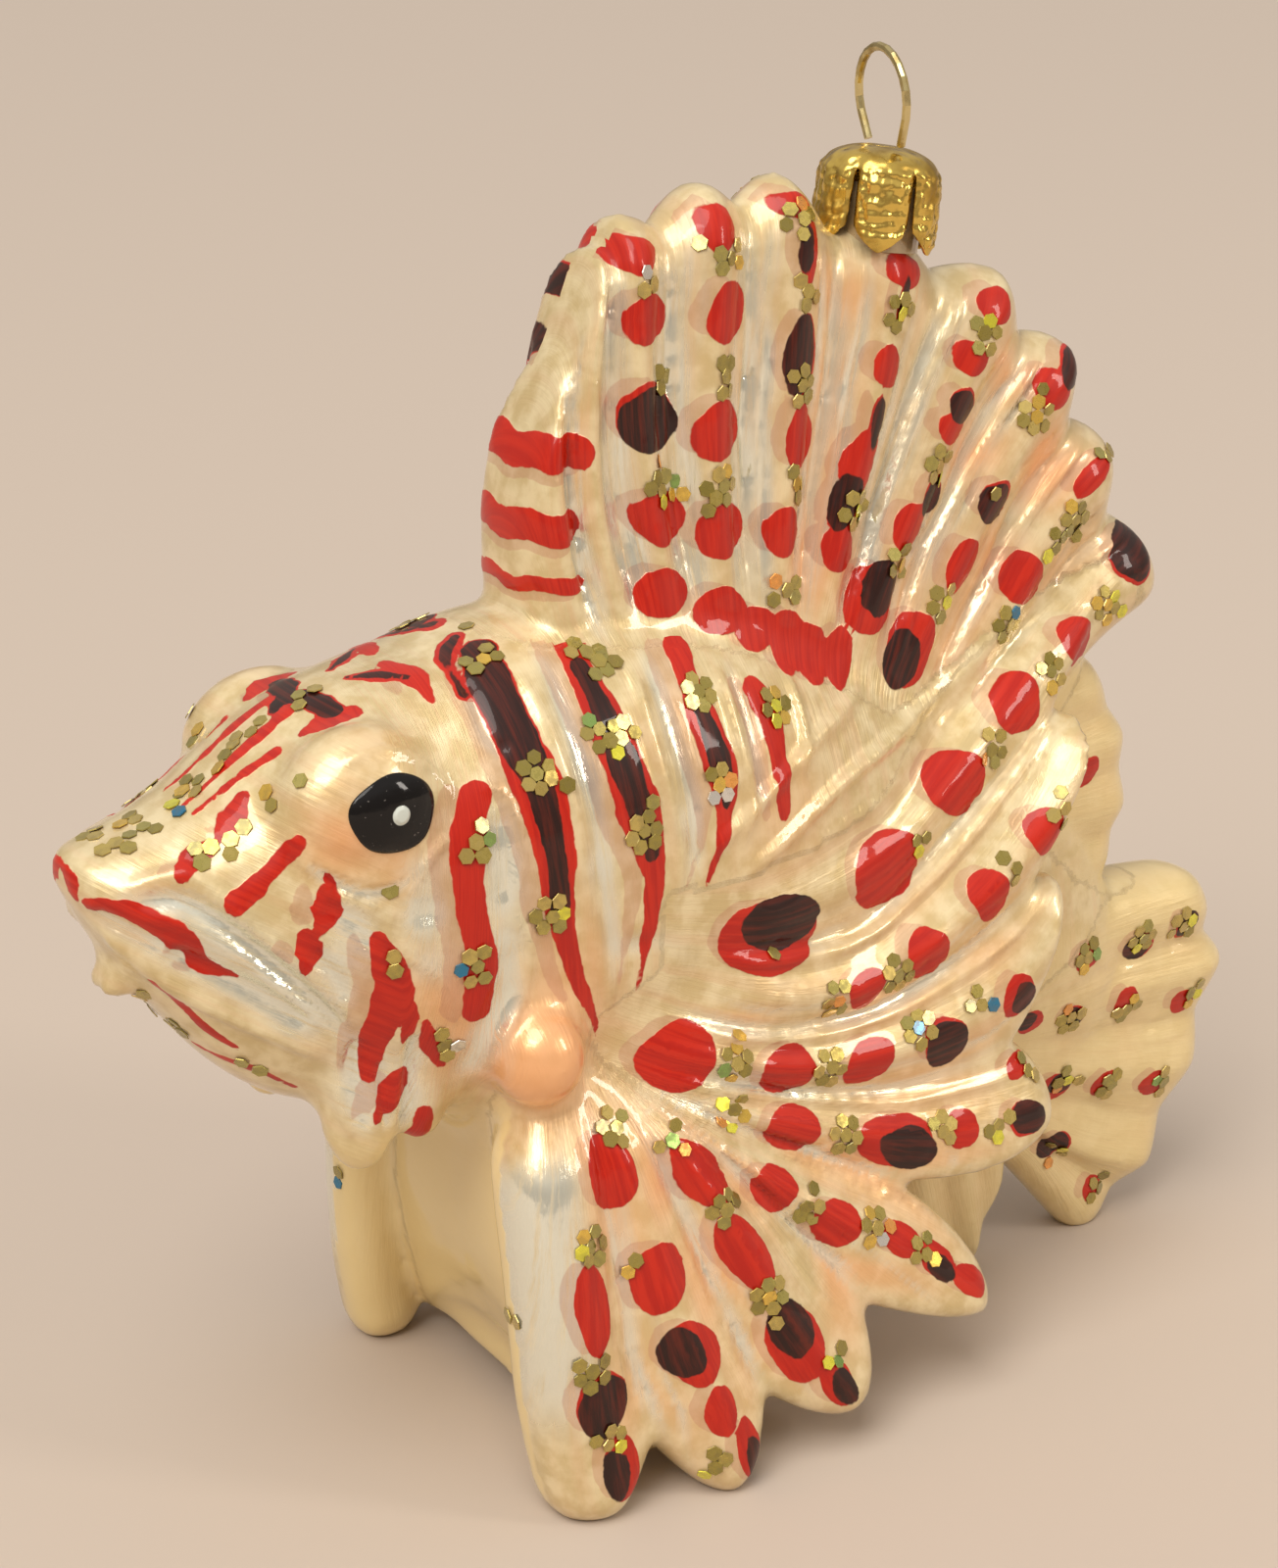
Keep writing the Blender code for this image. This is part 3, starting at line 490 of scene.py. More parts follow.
BODY_GROOVES = (
    (0.8, 1.0, 1.0, ((-60.4, 61.4), (-56.6, 61.2), (-54.0, 59.4), (-51.3, 56.6), (-48.5, 53.5), (-45.7, 50.0),
                     (-44.2, 47.6))),
    (0.9, 1.5, 1.0, ((-58.2, 57.2), (-54.4, 54.7), (-51.2, 52.4), (-47.2, 49.0))),
    (0.5, 1.0, 0.6, ((-62.8, 60.4), (-60.5, 58.8), (-58.0, 57.0))),
    (0.35, 1.3, 1.0, ((-31.0, 65.8), (-30.8, 61.4), (-31.6, 58.2))),
    (0.35, 1.6, 0.9, ((-30.9, 54.6), (-31.2, 50.0), (-32.8, 46.0), (-33.6, 41.5))),
    (0.45, 1.7, 1.0, ((-37.8, 59.8), (-38.0, 57.4))),
    (0.3, 0.5, 0.8, ((-46.8, 63.4), (-44.4, 61.4), (-42.0, 60.6), (-39.6, 61.2))),
    (0.3, 1.1, 0.8, ((-46.4, 60.2), (-43.9, 58.4), (-42.4, 55.8))),
    (0.3, 1.0, 0.8, ((-47.2, 56.6), (-45.4, 54.2), (-44.4, 51.2))),
    (0.5, 1.0, 0.9, ((-43.6, 47.6), (-43.4, 43.0), (-42.6, 38.6))),
    (0.4, 0.6, 0.7, ((-41.0, 45.0), (-41.2, 41.6), (-40.4, 38.2))),
    (0.7, 0.8, 0.9, ((-38.6, 47.4), (-38.6, 42.4), (-38.7, 37.0))),
    (0.35, 1.0, 0.8, ((-22.8, 76.6), (-22.9, 71.5), (-22.0, 65.1), (-21.4, 58.2), (-20.3, 49.8))),
    (0.35, 1.0, 0.7, ((-13.2, 75.4), (-13.0, 69.0), (-12.0, 63.0), (-12.4, 57.0))),
    (0.3, 0.8, 0.5, ((-5.0, 73.0), (-4.6, 67.2), (-4.6, 61.6))),
    (0.3, 1.0, 0.5, ((-29.8, 75.6), (-30.2, 71.6), (-28.6, 70.2))),
    (0.3, 1.2, 0.6, ((-20.0, 52.0), (-14.6, 51.0), (-10.4, 46.4))),
    (0.3, 1.2, 0.6, ((-16.6, 46.6), (-11.6, 44.2), (-5.0, 42.6))),
)
# For each fin: the place of a crease between two rays, its height, its half width and its bare silver.
FIN_CREASES = {
    "dorsal": (
        (0.50, -0.55, 0.8, 1.0), (0.31, -0.34, 0.55, 0.9), (0.69, -0.32, 0.55, 0.9), (0.60, 0.24, 0.5, 0.3),
        (0.80, 0.16, 0.5, 0.2),
    ),
    "soft_dorsal": ((0.5, -0.25, 0.9, 0.0),),
    "tail": ((0.5, -0.35, 0.9, 0.1), (0.7, 0.15, 0.6, 0.0)),
    "anal": ((0.5, -0.2, 0.8, 0.0),),
    "pectoral_left": ((0.48, -0.45, 0.9, 0.9), (0.26, -0.24, 0.5, 0.6), (0.70, 0.26, 0.7, 0.0)),
    "pectoral_right": ((0.48, -0.45, 0.9, 0.9), (0.26, -0.24, 0.5, 0.6), (0.70, 0.26, 0.7, 0.0)),
}
# How silvery, how peach and how sharply crested the glass is in each gap of a fin.
GAP_SILVER = {
    "dorsal": (0.8, 1.0, 1.0, 1.0, 0.9, 0.7, 0.5, 0.25, 0.15),
    "pectoral_left": (0.5, 0.8, 1.0, 1.0, 0.8, 0.9, 1.0),
}
GAP_PEACH = {
    "dorsal": (0.5, 0.25, 0.2, 0.3, 0.8, 0.5, 0.9, 0.9, 0.5),
    "pectoral_left": (0.3, 0.5, 0.4, 0.6, 0.7, 0.6, 0.5),
}
GAP_CREST = {"dorsal": (0, 0, 0, 0.2, 0.6, 1, 1, 1, 1), "pectoral_left": (1, 0.8, 0.6, 0.3, 0.2, 0.2, 0.2)}
OTHER_SILVER, OTHER_PEACH = 0.2, 0.15
CREST_AT = 0.66
CREST_HEIGHT = 0.6
CREST_HALF = 0.9
STATIONS = 11
# Peach clouds: middle, radius and strength. Bare silver on the head's folds, partly painted reflection: its
# middle in side view, radius and strength.
PEACH_PATCHES = (
    ((-28.0, -18.0, 43.6), 6.0, 1.3), ((-44.6, -13.4, 65.6), 3.4, 0.9), ((-39.6, -14.0, 62.6), 2.6, 0.5),
    ((-36.6, -14.6, 51.0), 4.2, 0.7), ((-41.6, -12.2, 74.0), 4.0, 0.25), ((-17.6, -15.6, 69.0), 3.0, 0.35),
    ((-58.4, -6.4, 60.4), 2.4, 0.6), ((-33.0, -14.0, 44.6), 4.0, 0.6), ((-24.0, -16.4, 52.0), 4.0, 0.3),
    ((-20.0, -20.0, 30.0), 7.0, 0.4), ((-2.0, -14.6, 60.0), 6.0, 0.35), ((10.0, -6.6, 80.0), 7.0, 0.4),
)
SILVER_PATCHES = (
    (-57.4, 59.6, 1.8, 0.5), (-54.0, 57.6, 2.2, 0.9), (-50.6, 54.4, 2.3, 0.9), (-47.4, 51.0, 2.2, 0.8),
    (-31.6, 62.0, 2.0, 0.8), (-31.4, 55.0, 1.8, 0.8), (-38.2, 58.0, 1.8, 0.7), (-42.6, 42.0, 2.4, 0.7),
    (-38.4, 40.4, 2.0, 0.8), (-44.0, 58.6, 1.8, 0.5), (-44.6, 55.4, 2.0, 0.7), (-38.0, 62.0, 1.6, 0.5),
    (-37.6, 54.0, 1.8, 0.6), (-31.0, 58.6, 2.0, 0.7), (-31.4, 50.0, 1.8, 0.7), (-42.8, 46.0, 2.2, 0.7),
    (-38.4, 44.6, 1.8, 0.7), (-22.2, 60.0, 1.6, 0.5), (-22.4, 68.0, 1.6, 0.5), (-12.6, 62.0, 1.6, 0.5),
)
PLAIN_BELOW = 40.0
PLAIN_FADE = 6
PLAIN_FINS = ("soft_dorsal", "tail", "anal")
PLAIN_SHARE = 0.75
LEG_FRONT = 6.75


def rounded_line(distance, half_width):
    """The cross section of a pressed ridge: 1 at its middle, falling smoothly to 0 at its edge."""
    return np.clip(1 - (distance / half_width) ** 2, 0, 1) ** 2


def near_line(where, line):
    """How far each place is from a line, and how far along it the nearest point is, from 0 to 1."""
    lengths = np.linalg.norm(np.diff(line, axis=0), axis=1)
    start = np.r_[0, np.cumsum(lengths)]
    reach, place = np.full(len(where), np.inf), np.zeros(len(where))
    for k, (a, b) in enumerate(zip(line, line[1:])):
        t = np.clip(((where - a) @ (b - a)) / lengths[k] ** 2, 0, 1)
        gap = np.linalg.norm(where - a - np.outer(t, b - a), axis=1)
        closer = gap < reach
        reach[closer] = gap[closer]
        place[closer] = (start[k] + t[closer] * lengths[k]) / start[-1]
    return reach, place


normals = facing()
lift, silver, peach = np.zeros(count), np.zeros(count), np.zeros(count)
side_view = points[:, (0, 2)]
on_side = (1 - on_fin) * eased(np.abs(normals[:, 1]), 0.1, 0.4) * (points[:, 2] > 33)
for bare, height, half_width, line in (
    [(0.0, *row) for row in BODY_RIDGES] + [(row[2], -row[0], *row[1::2]) for row in BODY_GROOVES]
):
    line = smooth_rows(line, 4)
    low, high = line.min(axis=0) - half_width, line.max(axis=0) + half_width
    close = np.flatnonzero(((side_view > low) & (side_view < high)).all(axis=1) & (on_side > 0))
    reach, place = near_line(side_view[close], line)
    ends = eased(place, 0, 0.12) * eased(1 - place, 0, 0.12)
    lift[close] += height * rounded_line(reach, half_width) * ends * on_side[close]
    silver[close] += bare * rounded_line(reach, half_width * 1.25) * (0.4 + 0.6 * ends) * on_side[close]

for number, (name, fin) in enumerate(FINS.items()):
    mine = np.flatnonzero((fin_number == number) & (on_fin > 0))
    twin = name.replace("right", "left")
    gaps = len(fin["rays"]) - 1
    gap = np.clip(fin_u[mine].astype(int), 0, gaps - 1)
    part = fin_u[mine] - gap
    down, strength = fin_v[mine], on_fin[mine] * eased(fin_v[mine], fin["plain"], fin["plain"] + 0.2)
    strength = strength * eased(1 - down, 0.02, 0.16)
    chance = np.random.default_rng(40 + number)
    stations = np.linspace(0, 1, STATIONS)
    for at, height, half_width, bare in FIN_CREASES[name]:
        sway = chance.uniform(-0.06, 0.06, (gaps, STATIONS))
        weight = chance.uniform(0.2, 1.2, (gaps, STATIONS))
        for k in range(gaps):
            here = gap == k
            offset = (part[here] - at - np.interp(down[here], stations, sway[k])) * wide[mine[here]]
            full = strength[here] * np.interp(down[here], stations, weight[k])
            lift[mine[here]] += height * rounded_line(offset, half_width) * full
            sheen = bare * GAP_SILVER.get(twin, (OTHER_SILVER,) * gaps)[k]
            silver[mine[here]] += sheen * rounded_line(offset, half_width * 1.9) * full
    for k in range(gaps):
        here = gap == k
        offset = (part[here] - CREST_AT) * wide[mine[here]]
        crest = CREST_HEIGHT * GAP_CREST.get(twin, (0,) * gaps)[k]
        lift[mine[here]] += crest * rounded_line(offset, CREST_HALF) * strength[here]
        bloom = np.interp(down[here], stations, chance.uniform(0.0, 1.3, STATIONS))
        tint = GAP_PEACH.get(twin, (OTHER_PEACH,) * gaps)[k] * bloom
        peach[mine[here]] += tint * np.sin(pi * np.clip(part[here], 0, 1)) * strength[here]
    # The front edge of each pectoral fin is bare silver too; its light colour is partly painted reflection.
    if twin == "pectoral_left":
        front = eased(fin_u[mine], LEG_FRONT, LEG_FRONT + 0.5)
        front = front * eased(down, 0.12, 0.22) * eased(1 - down, 0.2, 0.4)
        silver[mine] += front * on_fin[mine]
mirror_points = points * (1, -1, 1)
for centre, radius, amount in PEACH_PATCHES:
    for where in (points, mirror_points):
        peach += amount * np.exp(-(((where - centre) ** 2).sum(axis=1)) / radius**2)
plain = (1 - on_fin) * eased(-points[:, 2], -PLAIN_BELOW, PLAIN_FADE - PLAIN_BELOW)
for number, name in enumerate(FINS):
    if name in PLAIN_FINS:
        plain = np.maximum(plain, PLAIN_SHARE * (fin_number == number) * on_fin)
    if name.startswith("pectoral"):
        inner = points[:, 1] * (1 if name.endswith("right") else -1) < np.abs(nearest[:, 1]) - 0.4
        plain = np.maximum(plain, (fin_number == number) * on_fin * inner)
for x, z, radius, amount in SILVER_PATCHES:
    silver += amount * on_side * np.exp(-((points[:, 0] - x) ** 2 + (points[:, 2] - z) ** 2) / radius**2)
silver = np.clip(silver, 0, 1) * (1 - plain)
peach = np.clip(peach, 0, 1) * (1 - 0.5 * plain)
points += normals * lift[:, None]

# Painted spots, bands and strokes
# Red enamel dots in rows along the rays, dark brown ones over some of them, and brush strokes on the body.
# A spot is set by its ray, its place along the ray, its half width and half length, and its colours.
SPOTS = {
    "dorsal": (
        (2.0, 0.945, 1.8, 1.7, "red"), (2.15, 0.81, 2.0, 2.2, "red"), (2.15, 0.64, 2.6, 2.8, "dark"),
        (2.15, 0.44, 2.4, 2.4, "red"), (1.9, 0.28, 2.3, 2.2, "red"),
        (3.0, 0.94, 1.6, 2.0, "red"), (3.15, 0.78, 2.0, 2.6, "red"), (3.05, 0.56, 2.1, 2.8, "red"),
        (3.05, 0.39, 2.2, 2.5, "red"), (2.9, 0.24, 2.3, 2.2, "red"),
        (3.9, 0.975, 1.7, 1.1, "red"), (4.05, 0.885, 0.9, 3.0, "both"), (4.05, 0.7, 1.6, 3.4, "dark"),
        (4.2, 0.56, 1.5, 3.0, "red"), (4.0, 0.38, 1.8, 2.2, "red"), (3.5, 0.22, 1.9, 2.0, "red"),
        (4.15, 0.2, 1.9, 2.6, "red"), (4.75, 0.2, 1.7, 2.8, "red"),
        (5.05, 0.94, 2.1, 1.5, "red"), (5.05, 0.86, 0.5, 2.4, "dark"), (5.1, 0.75, 1.6, 1.8, "red"),
        (5.1, 0.65, 0.7, 2.4, "dark"), (5.0, 0.57, 1.7, 3.0, "red"), (4.95, 0.48, 1.3, 2.6, "dark"),
        (5.0, 0.4, 1.8, 2.0, "red"), (5.4, 0.22, 1.5, 2.8, "red"),
        (5.95, 0.94, 1.5, 1.9, "red"), (5.9, 0.82, 1.6, 1.7, "red"), (6.05, 0.73, 1.4, 1.6, "dark"),
        (6.05, 0.68, 1.5, 1.5, "red"), (6.3, 0.59, 1.2, 1.8, "dark"), (6.1, 0.49, 1.6, 2.4, "red"),
        (5.85, 0.34, 2.2, 3.4, "both"),
        (7.0, 0.96, 1.4, 2.2, "dark"), (6.95, 0.88, 1.9, 2.0, "red"), (7.1, 0.64, 1.7, 1.9, "dark"),
        (7.05, 0.48, 1.5, 2.8, "red"), (6.85, 0.29, 2.3, 3.6, "both"),
        (7.95, 0.88, 1.1, 2.8, "red"), (7.95, 0.59, 2.3, 2.6, "red"), (8.85, 0.92, 2.3, 2.8, "dark"),
    ),
    "pectoral_left": (
        (0.05, 0.92, 2.4, 2.4, "red"), (0.0, 0.73, 2.9, 3.0, "red"), (0.0, 0.56, 3.3, 3.4, "red"),
        (0.1, 0.4, 3.8, 3.9, "red"), (0.35, 0.18, 3.5, 5.6, "both"),
        (1.0, 0.38, 1.7, 2.3, "red"), (1.05, 0.54, 2.5, 2.5, "red"), (1.0, 0.67, 2.3, 2.4, "red"),
        (1.0, 0.81, 2.1, 2.3, "red"),
        (2.05, 0.11, 3.3, 3.6, "red"), (2.0, 0.33, 2.3, 3.0, "red"), (2.0, 0.5, 2.2, 2.8, "red"),
        (2.05, 0.66, 2.4, 2.5, "dark"), (2.1, 0.84, 1.9, 2.1, "both"),
        (3.0, 0.36, 2.2, 3.0, "red"), (3.0, 0.6, 2.6, 4.4, "both"), (2.95, 0.75, 1.9, 1.9, "red"),
        (2.95, 0.9, 1.7, 2.2, "dark"), (2.6, 0.96, 1.2, 1.6, "red"),
        (4.05, 0.38, 2.2, 2.5, "red"), (4.05, 0.55, 2.2, 2.9, "red"), (3.95, 0.7, 1.7, 2.5, "red"),
        (3.95, 0.8, 1.5, 2.6, "both"), (3.95, 0.9, 1.4, 2.6, "red"),
        (4.95, 0.26, 2.2, 3.8, "red"), (5.1, 0.48, 2.2, 4.3, "red"), (5.1, 0.74, 2.7, 4.0, "both"),
        (5.0, 0.87, 1.6, 2.8, "both"),
        (6.3, 0.2, 2.4, 3.4, "red"), (6.1, 0.43, 2.8, 3.2, "red"), (6.0, 0.62, 2.6, 3.3, "both"),
        (6.0, 0.76, 1.6, 2.6, "red"), (5.85, 0.91, 1.5, 3.4, "both"),
        (6.9, 0.46, 1.9, 4.2, "red"), (6.95, 0.68, 2.5, 3.0, "dark"), (6.8, 0.86, 1.7, 3.6, "both"),
    ),
    "tail": (
        (0.0, 0.34, 1.5, 1.8, "red"), (0.3, 0.61, 1.6, 1.9, "dark"), (0.15, 0.81, 1.5, 1.6, "dark"),
        (1.05, 0.28, 1.2, 1.6, "dark"), (1.2, 0.54, 1.7, 1.8, "red"), (1.3, 0.81, 1.5, 1.7, "red"),
        (2.3, 0.31, 1.7, 2.0, "both"), (2.15, 0.53, 1.6, 1.7, "red"), (2.2, 0.76, 1.5, 1.9, "red"),
        (3.6, 0.49, 1.7, 1.6, "dark"), (3.65, 0.81, 1.6, 1.2, "red"), (0.9, 0.1, 1.3, 1.6, "both"),
    ),
    "soft_dorsal": ((1.35, 0.72, 1.5, 1.7, "red"),),
}
SPOTS["pectoral_right"] = SPOTS["pectoral_left"]
FAR_SIDE_ONLY = ((1.0, 0.95, 1.2, 1.6, "dark"), (0.75, 0.84, 0.9, 1.9, "dark"))
# A stroke is set by its colour, its half widths at the start, the middle and the end, and its path in
# side view. A point with three numbers lies near the top or the underside of the head instead.
STROKES = (
    ("red", (2.0, 1.9, 0.25), ((-27.4, 76.6), (-28.1, 74.8), (-27.8, 70.7), (-27.0, 67.0), (-26.3, 61),
                               (-26.2, 57.5), (-24.7, 50.9), (-21.4, 43.3))),
    ("dark", (1.9, 1.5, 0.8), ((-27.2, 76.8), (-28.0, 74.8), (-27.7, 70.7), (-26.9, 67.0), (-26.3, 61),
                               (-26.1, 56.5))),
    ("red", (1.6, 2.0, 0.2), ((-19.4, 77.6), (-20.0, 75.4), (-19.3, 71.0), (-18.3, 66.0), (-17.0, 60.0),
                              (-16.6, 57.3), (-17.3, 52.0), (-18.1, 47.4))),
    ("dark", (0.8, 1.5, 0.9), ((-19.9, 75.4), (-19.2, 71.0), (-18.2, 66.0), (-16.9, 60.0))),
    ("red", (1.3, 1.7, 0.2), ((-9.6, 75.2), (-9.9, 73.2), (-9.5, 69.3), (-8.6, 64.6), (-9.4, 59.8),
                              (-11.1, 55.8))),
    ("dark", (0.6, 1.3, 0.5), ((-9.8, 72.0), (-9.4, 69.3), (-8.6, 65.4), (-8.6, 62.4))),
    ("red", (1.4, 1.2, 0.7), ((-3.0, 70.9), (-2.1, 68.6), (-2.0, 64.5), (-2.1, 60.2))),
    ("red", (1.4, 1.5, 1.3), ((-32.6, 67.4), (-33.8, 64.7), (-34.3, 60.7), (-34.0, 57.2), (-33.3, 53.6),
                              (-33.5, 48.9))),
    ("red", (0.7, 0.8, 1.0), ((-47.6, 65.6), (-48.6, 64.4), (-50.4, 62.6), (-52.8, 60.8))),
    ("red", (0.5, 1.5, 0.3), ((-45.6, 62.4), (-45.8, 60.0), (-46.8, 57.8))),
    ("red", (0.9, 1.3, 0.3), ((-47.7, 57.6), (-47.6, 56.0), (-48.2, 54.6))),
    ("red", (0.5, 1.4, 0.4), ((-62.9, 60.8), (-61.2, 60.8), (-59.6, 60.0), (-57.8, 58.8), (-56.4, 57.4),
                              (-55.0, 55.4), (-52.6, 54.2))),
    ("red", (0.9, 2.0, 0.8), ((-41.9, 56.6), (-40.7, 51.9), (-41.9, 47.2), (-42.1, 43.9))),
    ("red", (0.3, 0.9, 0.3), ((-39.8, 51.4), (-39.2, 48.9), (-39.4, 46.6))),
    ("red", (0.4, 1.1, 0.4), ((-37.8, 48.4), (-37.0, 45.9), (-35.8, 43.4))),
    ("red", (1.2, 1.5, 0.3), ((-39.4, 42.6), (-40.3, 41.2), (-41.6, 39.2))),
    ("red", (0.9, 1.0, 0.3), ((-37.1, 38.9), (-37.1, 36.9), (-37.6, 35.6))),
    ("red", (0.6, 1.5, 0.4), ((-49.9, 68.2), (-51.4, 66.6), (-52.8, 65.4))),
    ("red", (0.9, 1.2, 0.5), ((-53.8, 64.8), (-55.2, 64.1), (-56.4, 63.1))),
    ("red", (0.4, 0.5, 0.4), ((-58.7, 53.8), (-56.7, 51.8), (-54.4, 48.9), (-52.2, 46.9))),
    ("red", (0.3, 0.6, 0.3), ((-54.3, -3.0, 46.1), (-50.3, -6.8, 44.4), (-47.0, -7.4, 42.2))),
    ("red", (0.3, 0.6, 0.9), ((-53.6, -2.1, 66.9), (-49.4, -1.9, 69.8), (-45.8, -2.0, 72.1),
                              (-43.0, -1.6, 73.6))),
    ("red", (0.3, 0.4, 0.6), ((-53.2, -3.6, 66.7), (-49.8, -4.0, 69.0), (-46.2, -5.0, 71.2))),
    ("dark", (0.5, 1.3, 0.9), ((-43.8, 0.4, 73.3), (-42.2, -0.6, 74.0), (-41.4, -3.0, 74.0),
                               (-41.0, -4.8, 73.7))),
    ("red", (0.8, 1.4, 0.9), ((-43.6, -5.4, 72.6), (-41.6, -6.0, 73.3), (-39.8, -6.0, 73.8))),
    ("both", (0.5, 1.1, 0.5), ((-37.8, -1.4, 75.2), (-36.0, -2.6, 75.4), (-33.6, -5.0, 75.4))),
    ("red", (0.6, 1.2, 0.4), ((-34.4, -1.4, 75.9), (-33.4, -4.5, 75.6), (-33.2, -7.9, 74.2))),
    ("both", (0.5, 0.8, 1.2), ((-30.6, -8.6, 74.4), (-29.9, -4.2, 76.4), (-27.8, -2.2, 77.4))),
    ("red", (0.5, 1.1, 0.5), ((-63.4, -0.6, 63.0), (-63.2, -1.6, 62.2), (-62.9, -2.0, 61.2))),
    ("red", (0.3, 0.6, 0.3), ((-31.4, -17.4, 17.4), (-31.2, -16.6, 15.6), (-31.0, -16.4, 13.6))),
)
# Red bands wrap the front edge of the dorsal fin: their height, half width and how far back they reach.
EDGE_BANDS = ((92.6, 1.5, 4.6), (86.4, 1.4, 4.8), (81.4, 0.7, 5.2))
# Faint copies of the paint, low and to one side, stand for its reflection in the silvering inside the
# glass. Only broad or long strokes show one.
GHOST_SHIFT = (-1.3, 0.0, 0.7)
GHOST_PATH = 6
GHOST_WIDTH = 1.1
STROKE_GHOST_SHIFT = (-2.2, 0.0, 0.3)
STROKE_MARGIN = 0.18
SPOT_MARGIN = 0.05
SPOT_DEPTH = 3.4
SPOT_SEARCH = (1.4, 1.5)
SPOT_LOBES = 3
CREST_SPREAD = 1.18
# How far the dark paint of a spot slips to one side of the red, and its size beside the red.
DARK_LAID = {"dark": (0.16, 1.0), "both": (0.42, 0.78)}
BAND_BASE = 78
BAND_GHOST_DROP = 1.1
PAINT_BODY = 0.09
FAR_AWAY = 9.0
red, dark, ghost = (np.full(count, FAR_AWAY) for _ in range(3))
outer = np.ones(count)
for number, name in enumerate(FINS):
    if name.startswith("pectoral"):
        here = fin_number == number
        outer[here] = normals[here, 1] * (1 if name.endswith("right") else -1)


def lay(paint, place, distance):
    """Adds a mark to a paint: its distances, in millimetres, are negative inside it."""
    paint[place] = np.minimum(paint[place], distance)


faces = np.empty(len(skin.data.polygons) * 4, np.int32)
skin.data.polygons.foreach_get("vertices", faces)
faces = faces.reshape(-1, 4).tolist()


def skin_tree():
    """The skin as it stands now, to be met by rays."""
    return BVHTree.FromPolygons(points.tolist(), faces)


surface = skin_tree()


def on_glass(place, side):
    """The point of the glass at a place in side view, on the left for -1 or the right for 1."""
    if len(place) == 3:
        return np.array(surface.find_nearest(Vector((place[0], -side * place[1], place[2])))[0])
    met = surface.ray_cast(Vector((place[0], side * 100, place[1])), Vector((0, -side, 0)))[0]
    return np.array(met or surface.find_nearest(Vector((place[0], side * 4, place[1])))[0])


for number, (name, fin) in enumerate(FINS.items()):
    chance = np.random.default_rng(60 + number)
    samples = grids[grids[:, 12] == number].reshape(-1, SAMPLES_ALONG, 13)
    for side in (-1, 1):
        if name.startswith("pectoral") and (side > 0) != name.endswith("right"):
            continue
        marks = SPOTS.get(name, ())
        if name == "dorsal" and side > 0:
            marks += FAR_SIDE_ONLY
        for u, v, half_wide, half_tall, colours in marks:
            half_wide = half_wide * (CREST_SPREAD if name == "dorsal" else 1)
            if side > 0:
                u, v = u + chance.uniform(-0.12, 0.12), v + chance.uniform(-0.015, 0.015)
                colours = chance.choice((colours, colours, colours, "red", "dark"))
            column = np.clip(round(u * SAMPLES_ACROSS), 0, len(samples) - 1)
            sample = samples[column, np.clip(round(v * (SAMPLES_ALONG - 1)), 0, SAMPLES_ALONG - 1)]
            level = Vector(sample[:3] + (0, side * sample[9], 0))
            centre = np.array(surface.find_nearest(level)[0])
            lengthwise = sample[6:9] / np.linalg.norm(sample[6:9])
            across = sample[3:6] - sample[3:6] @ lengthwise * lengthwise
            across /= np.linalg.norm(across)
            through = np.cross(lengthwise, across)
            turn, lobes = chance.uniform(0, 2 * pi, SPOT_LOBES), chance.uniform(0.02, 0.10, SPOT_LOBES)
            core = chance.uniform(0, 2 * pi)
            for shift, faint in ((0, False), (1, True)):
                away = points - centre - np.multiply(GHOST_SHIFT, shift)
                reach = SPOT_SEARCH[0] * max(half_wide, half_tall) + SPOT_SEARCH[1]
                near = ((away**2).sum(axis=1) < reach**2) & (np.abs(away @ through) < SPOT_DEPTH)
                mine = np.flatnonzero(near & (outer > -0.4))
                du, dv = away[mine] @ across / half_wide, away[mine] @ lengthwise / half_tall
                angle = np.arctan2(dv, du)
                waves = (lobes[k] / (k + 1) * np.sin((k + 2) * angle + turn[k]) for k in range(SPOT_LOBES))
                bulge = 1 + sum(waves)
                distance = (np.hypot(du, dv) / bulge - 1) * (half_wide + half_tall) / 2
                if faint:
                    lay(ghost, mine, distance + 0.1)
                elif colours == "red":
                    lay(red, mine, distance)
                else:
                    slip, share = DARK_LAID[colours]
                    over = np.hypot(du + slip * cos(core), dv + slip * sin(core)) / bulge / share - 1
                    lay(dark, mine, over * half_wide * share)
                    lay(red, mine, distance - SPOT_MARGIN)

for height, width, sweep in EDGE_BANDS:
    level = (np.abs(points[:, 2] - height) < 1) & (points[:, 0] < 0)
    behind = points[:, 0] - points[level, 0].min() - sweep + 0.8 * ((points[:, 2] - height) / width) ** 2
    for paint, drop, margin in ((red, 0, 0), (ghost, BAND_GHOST_DROP, 0.2)):
        waver = 0.3 * np.sin(points[:, 1] * 0.9 + height)
        across = np.abs(points[:, 2] - height + drop - waver) - width
        banded = np.where(points[:, 2] > BAND_BASE, np.maximum(across, behind), FAR_AWAY)
        lay(paint, slice(None), banded + margin)

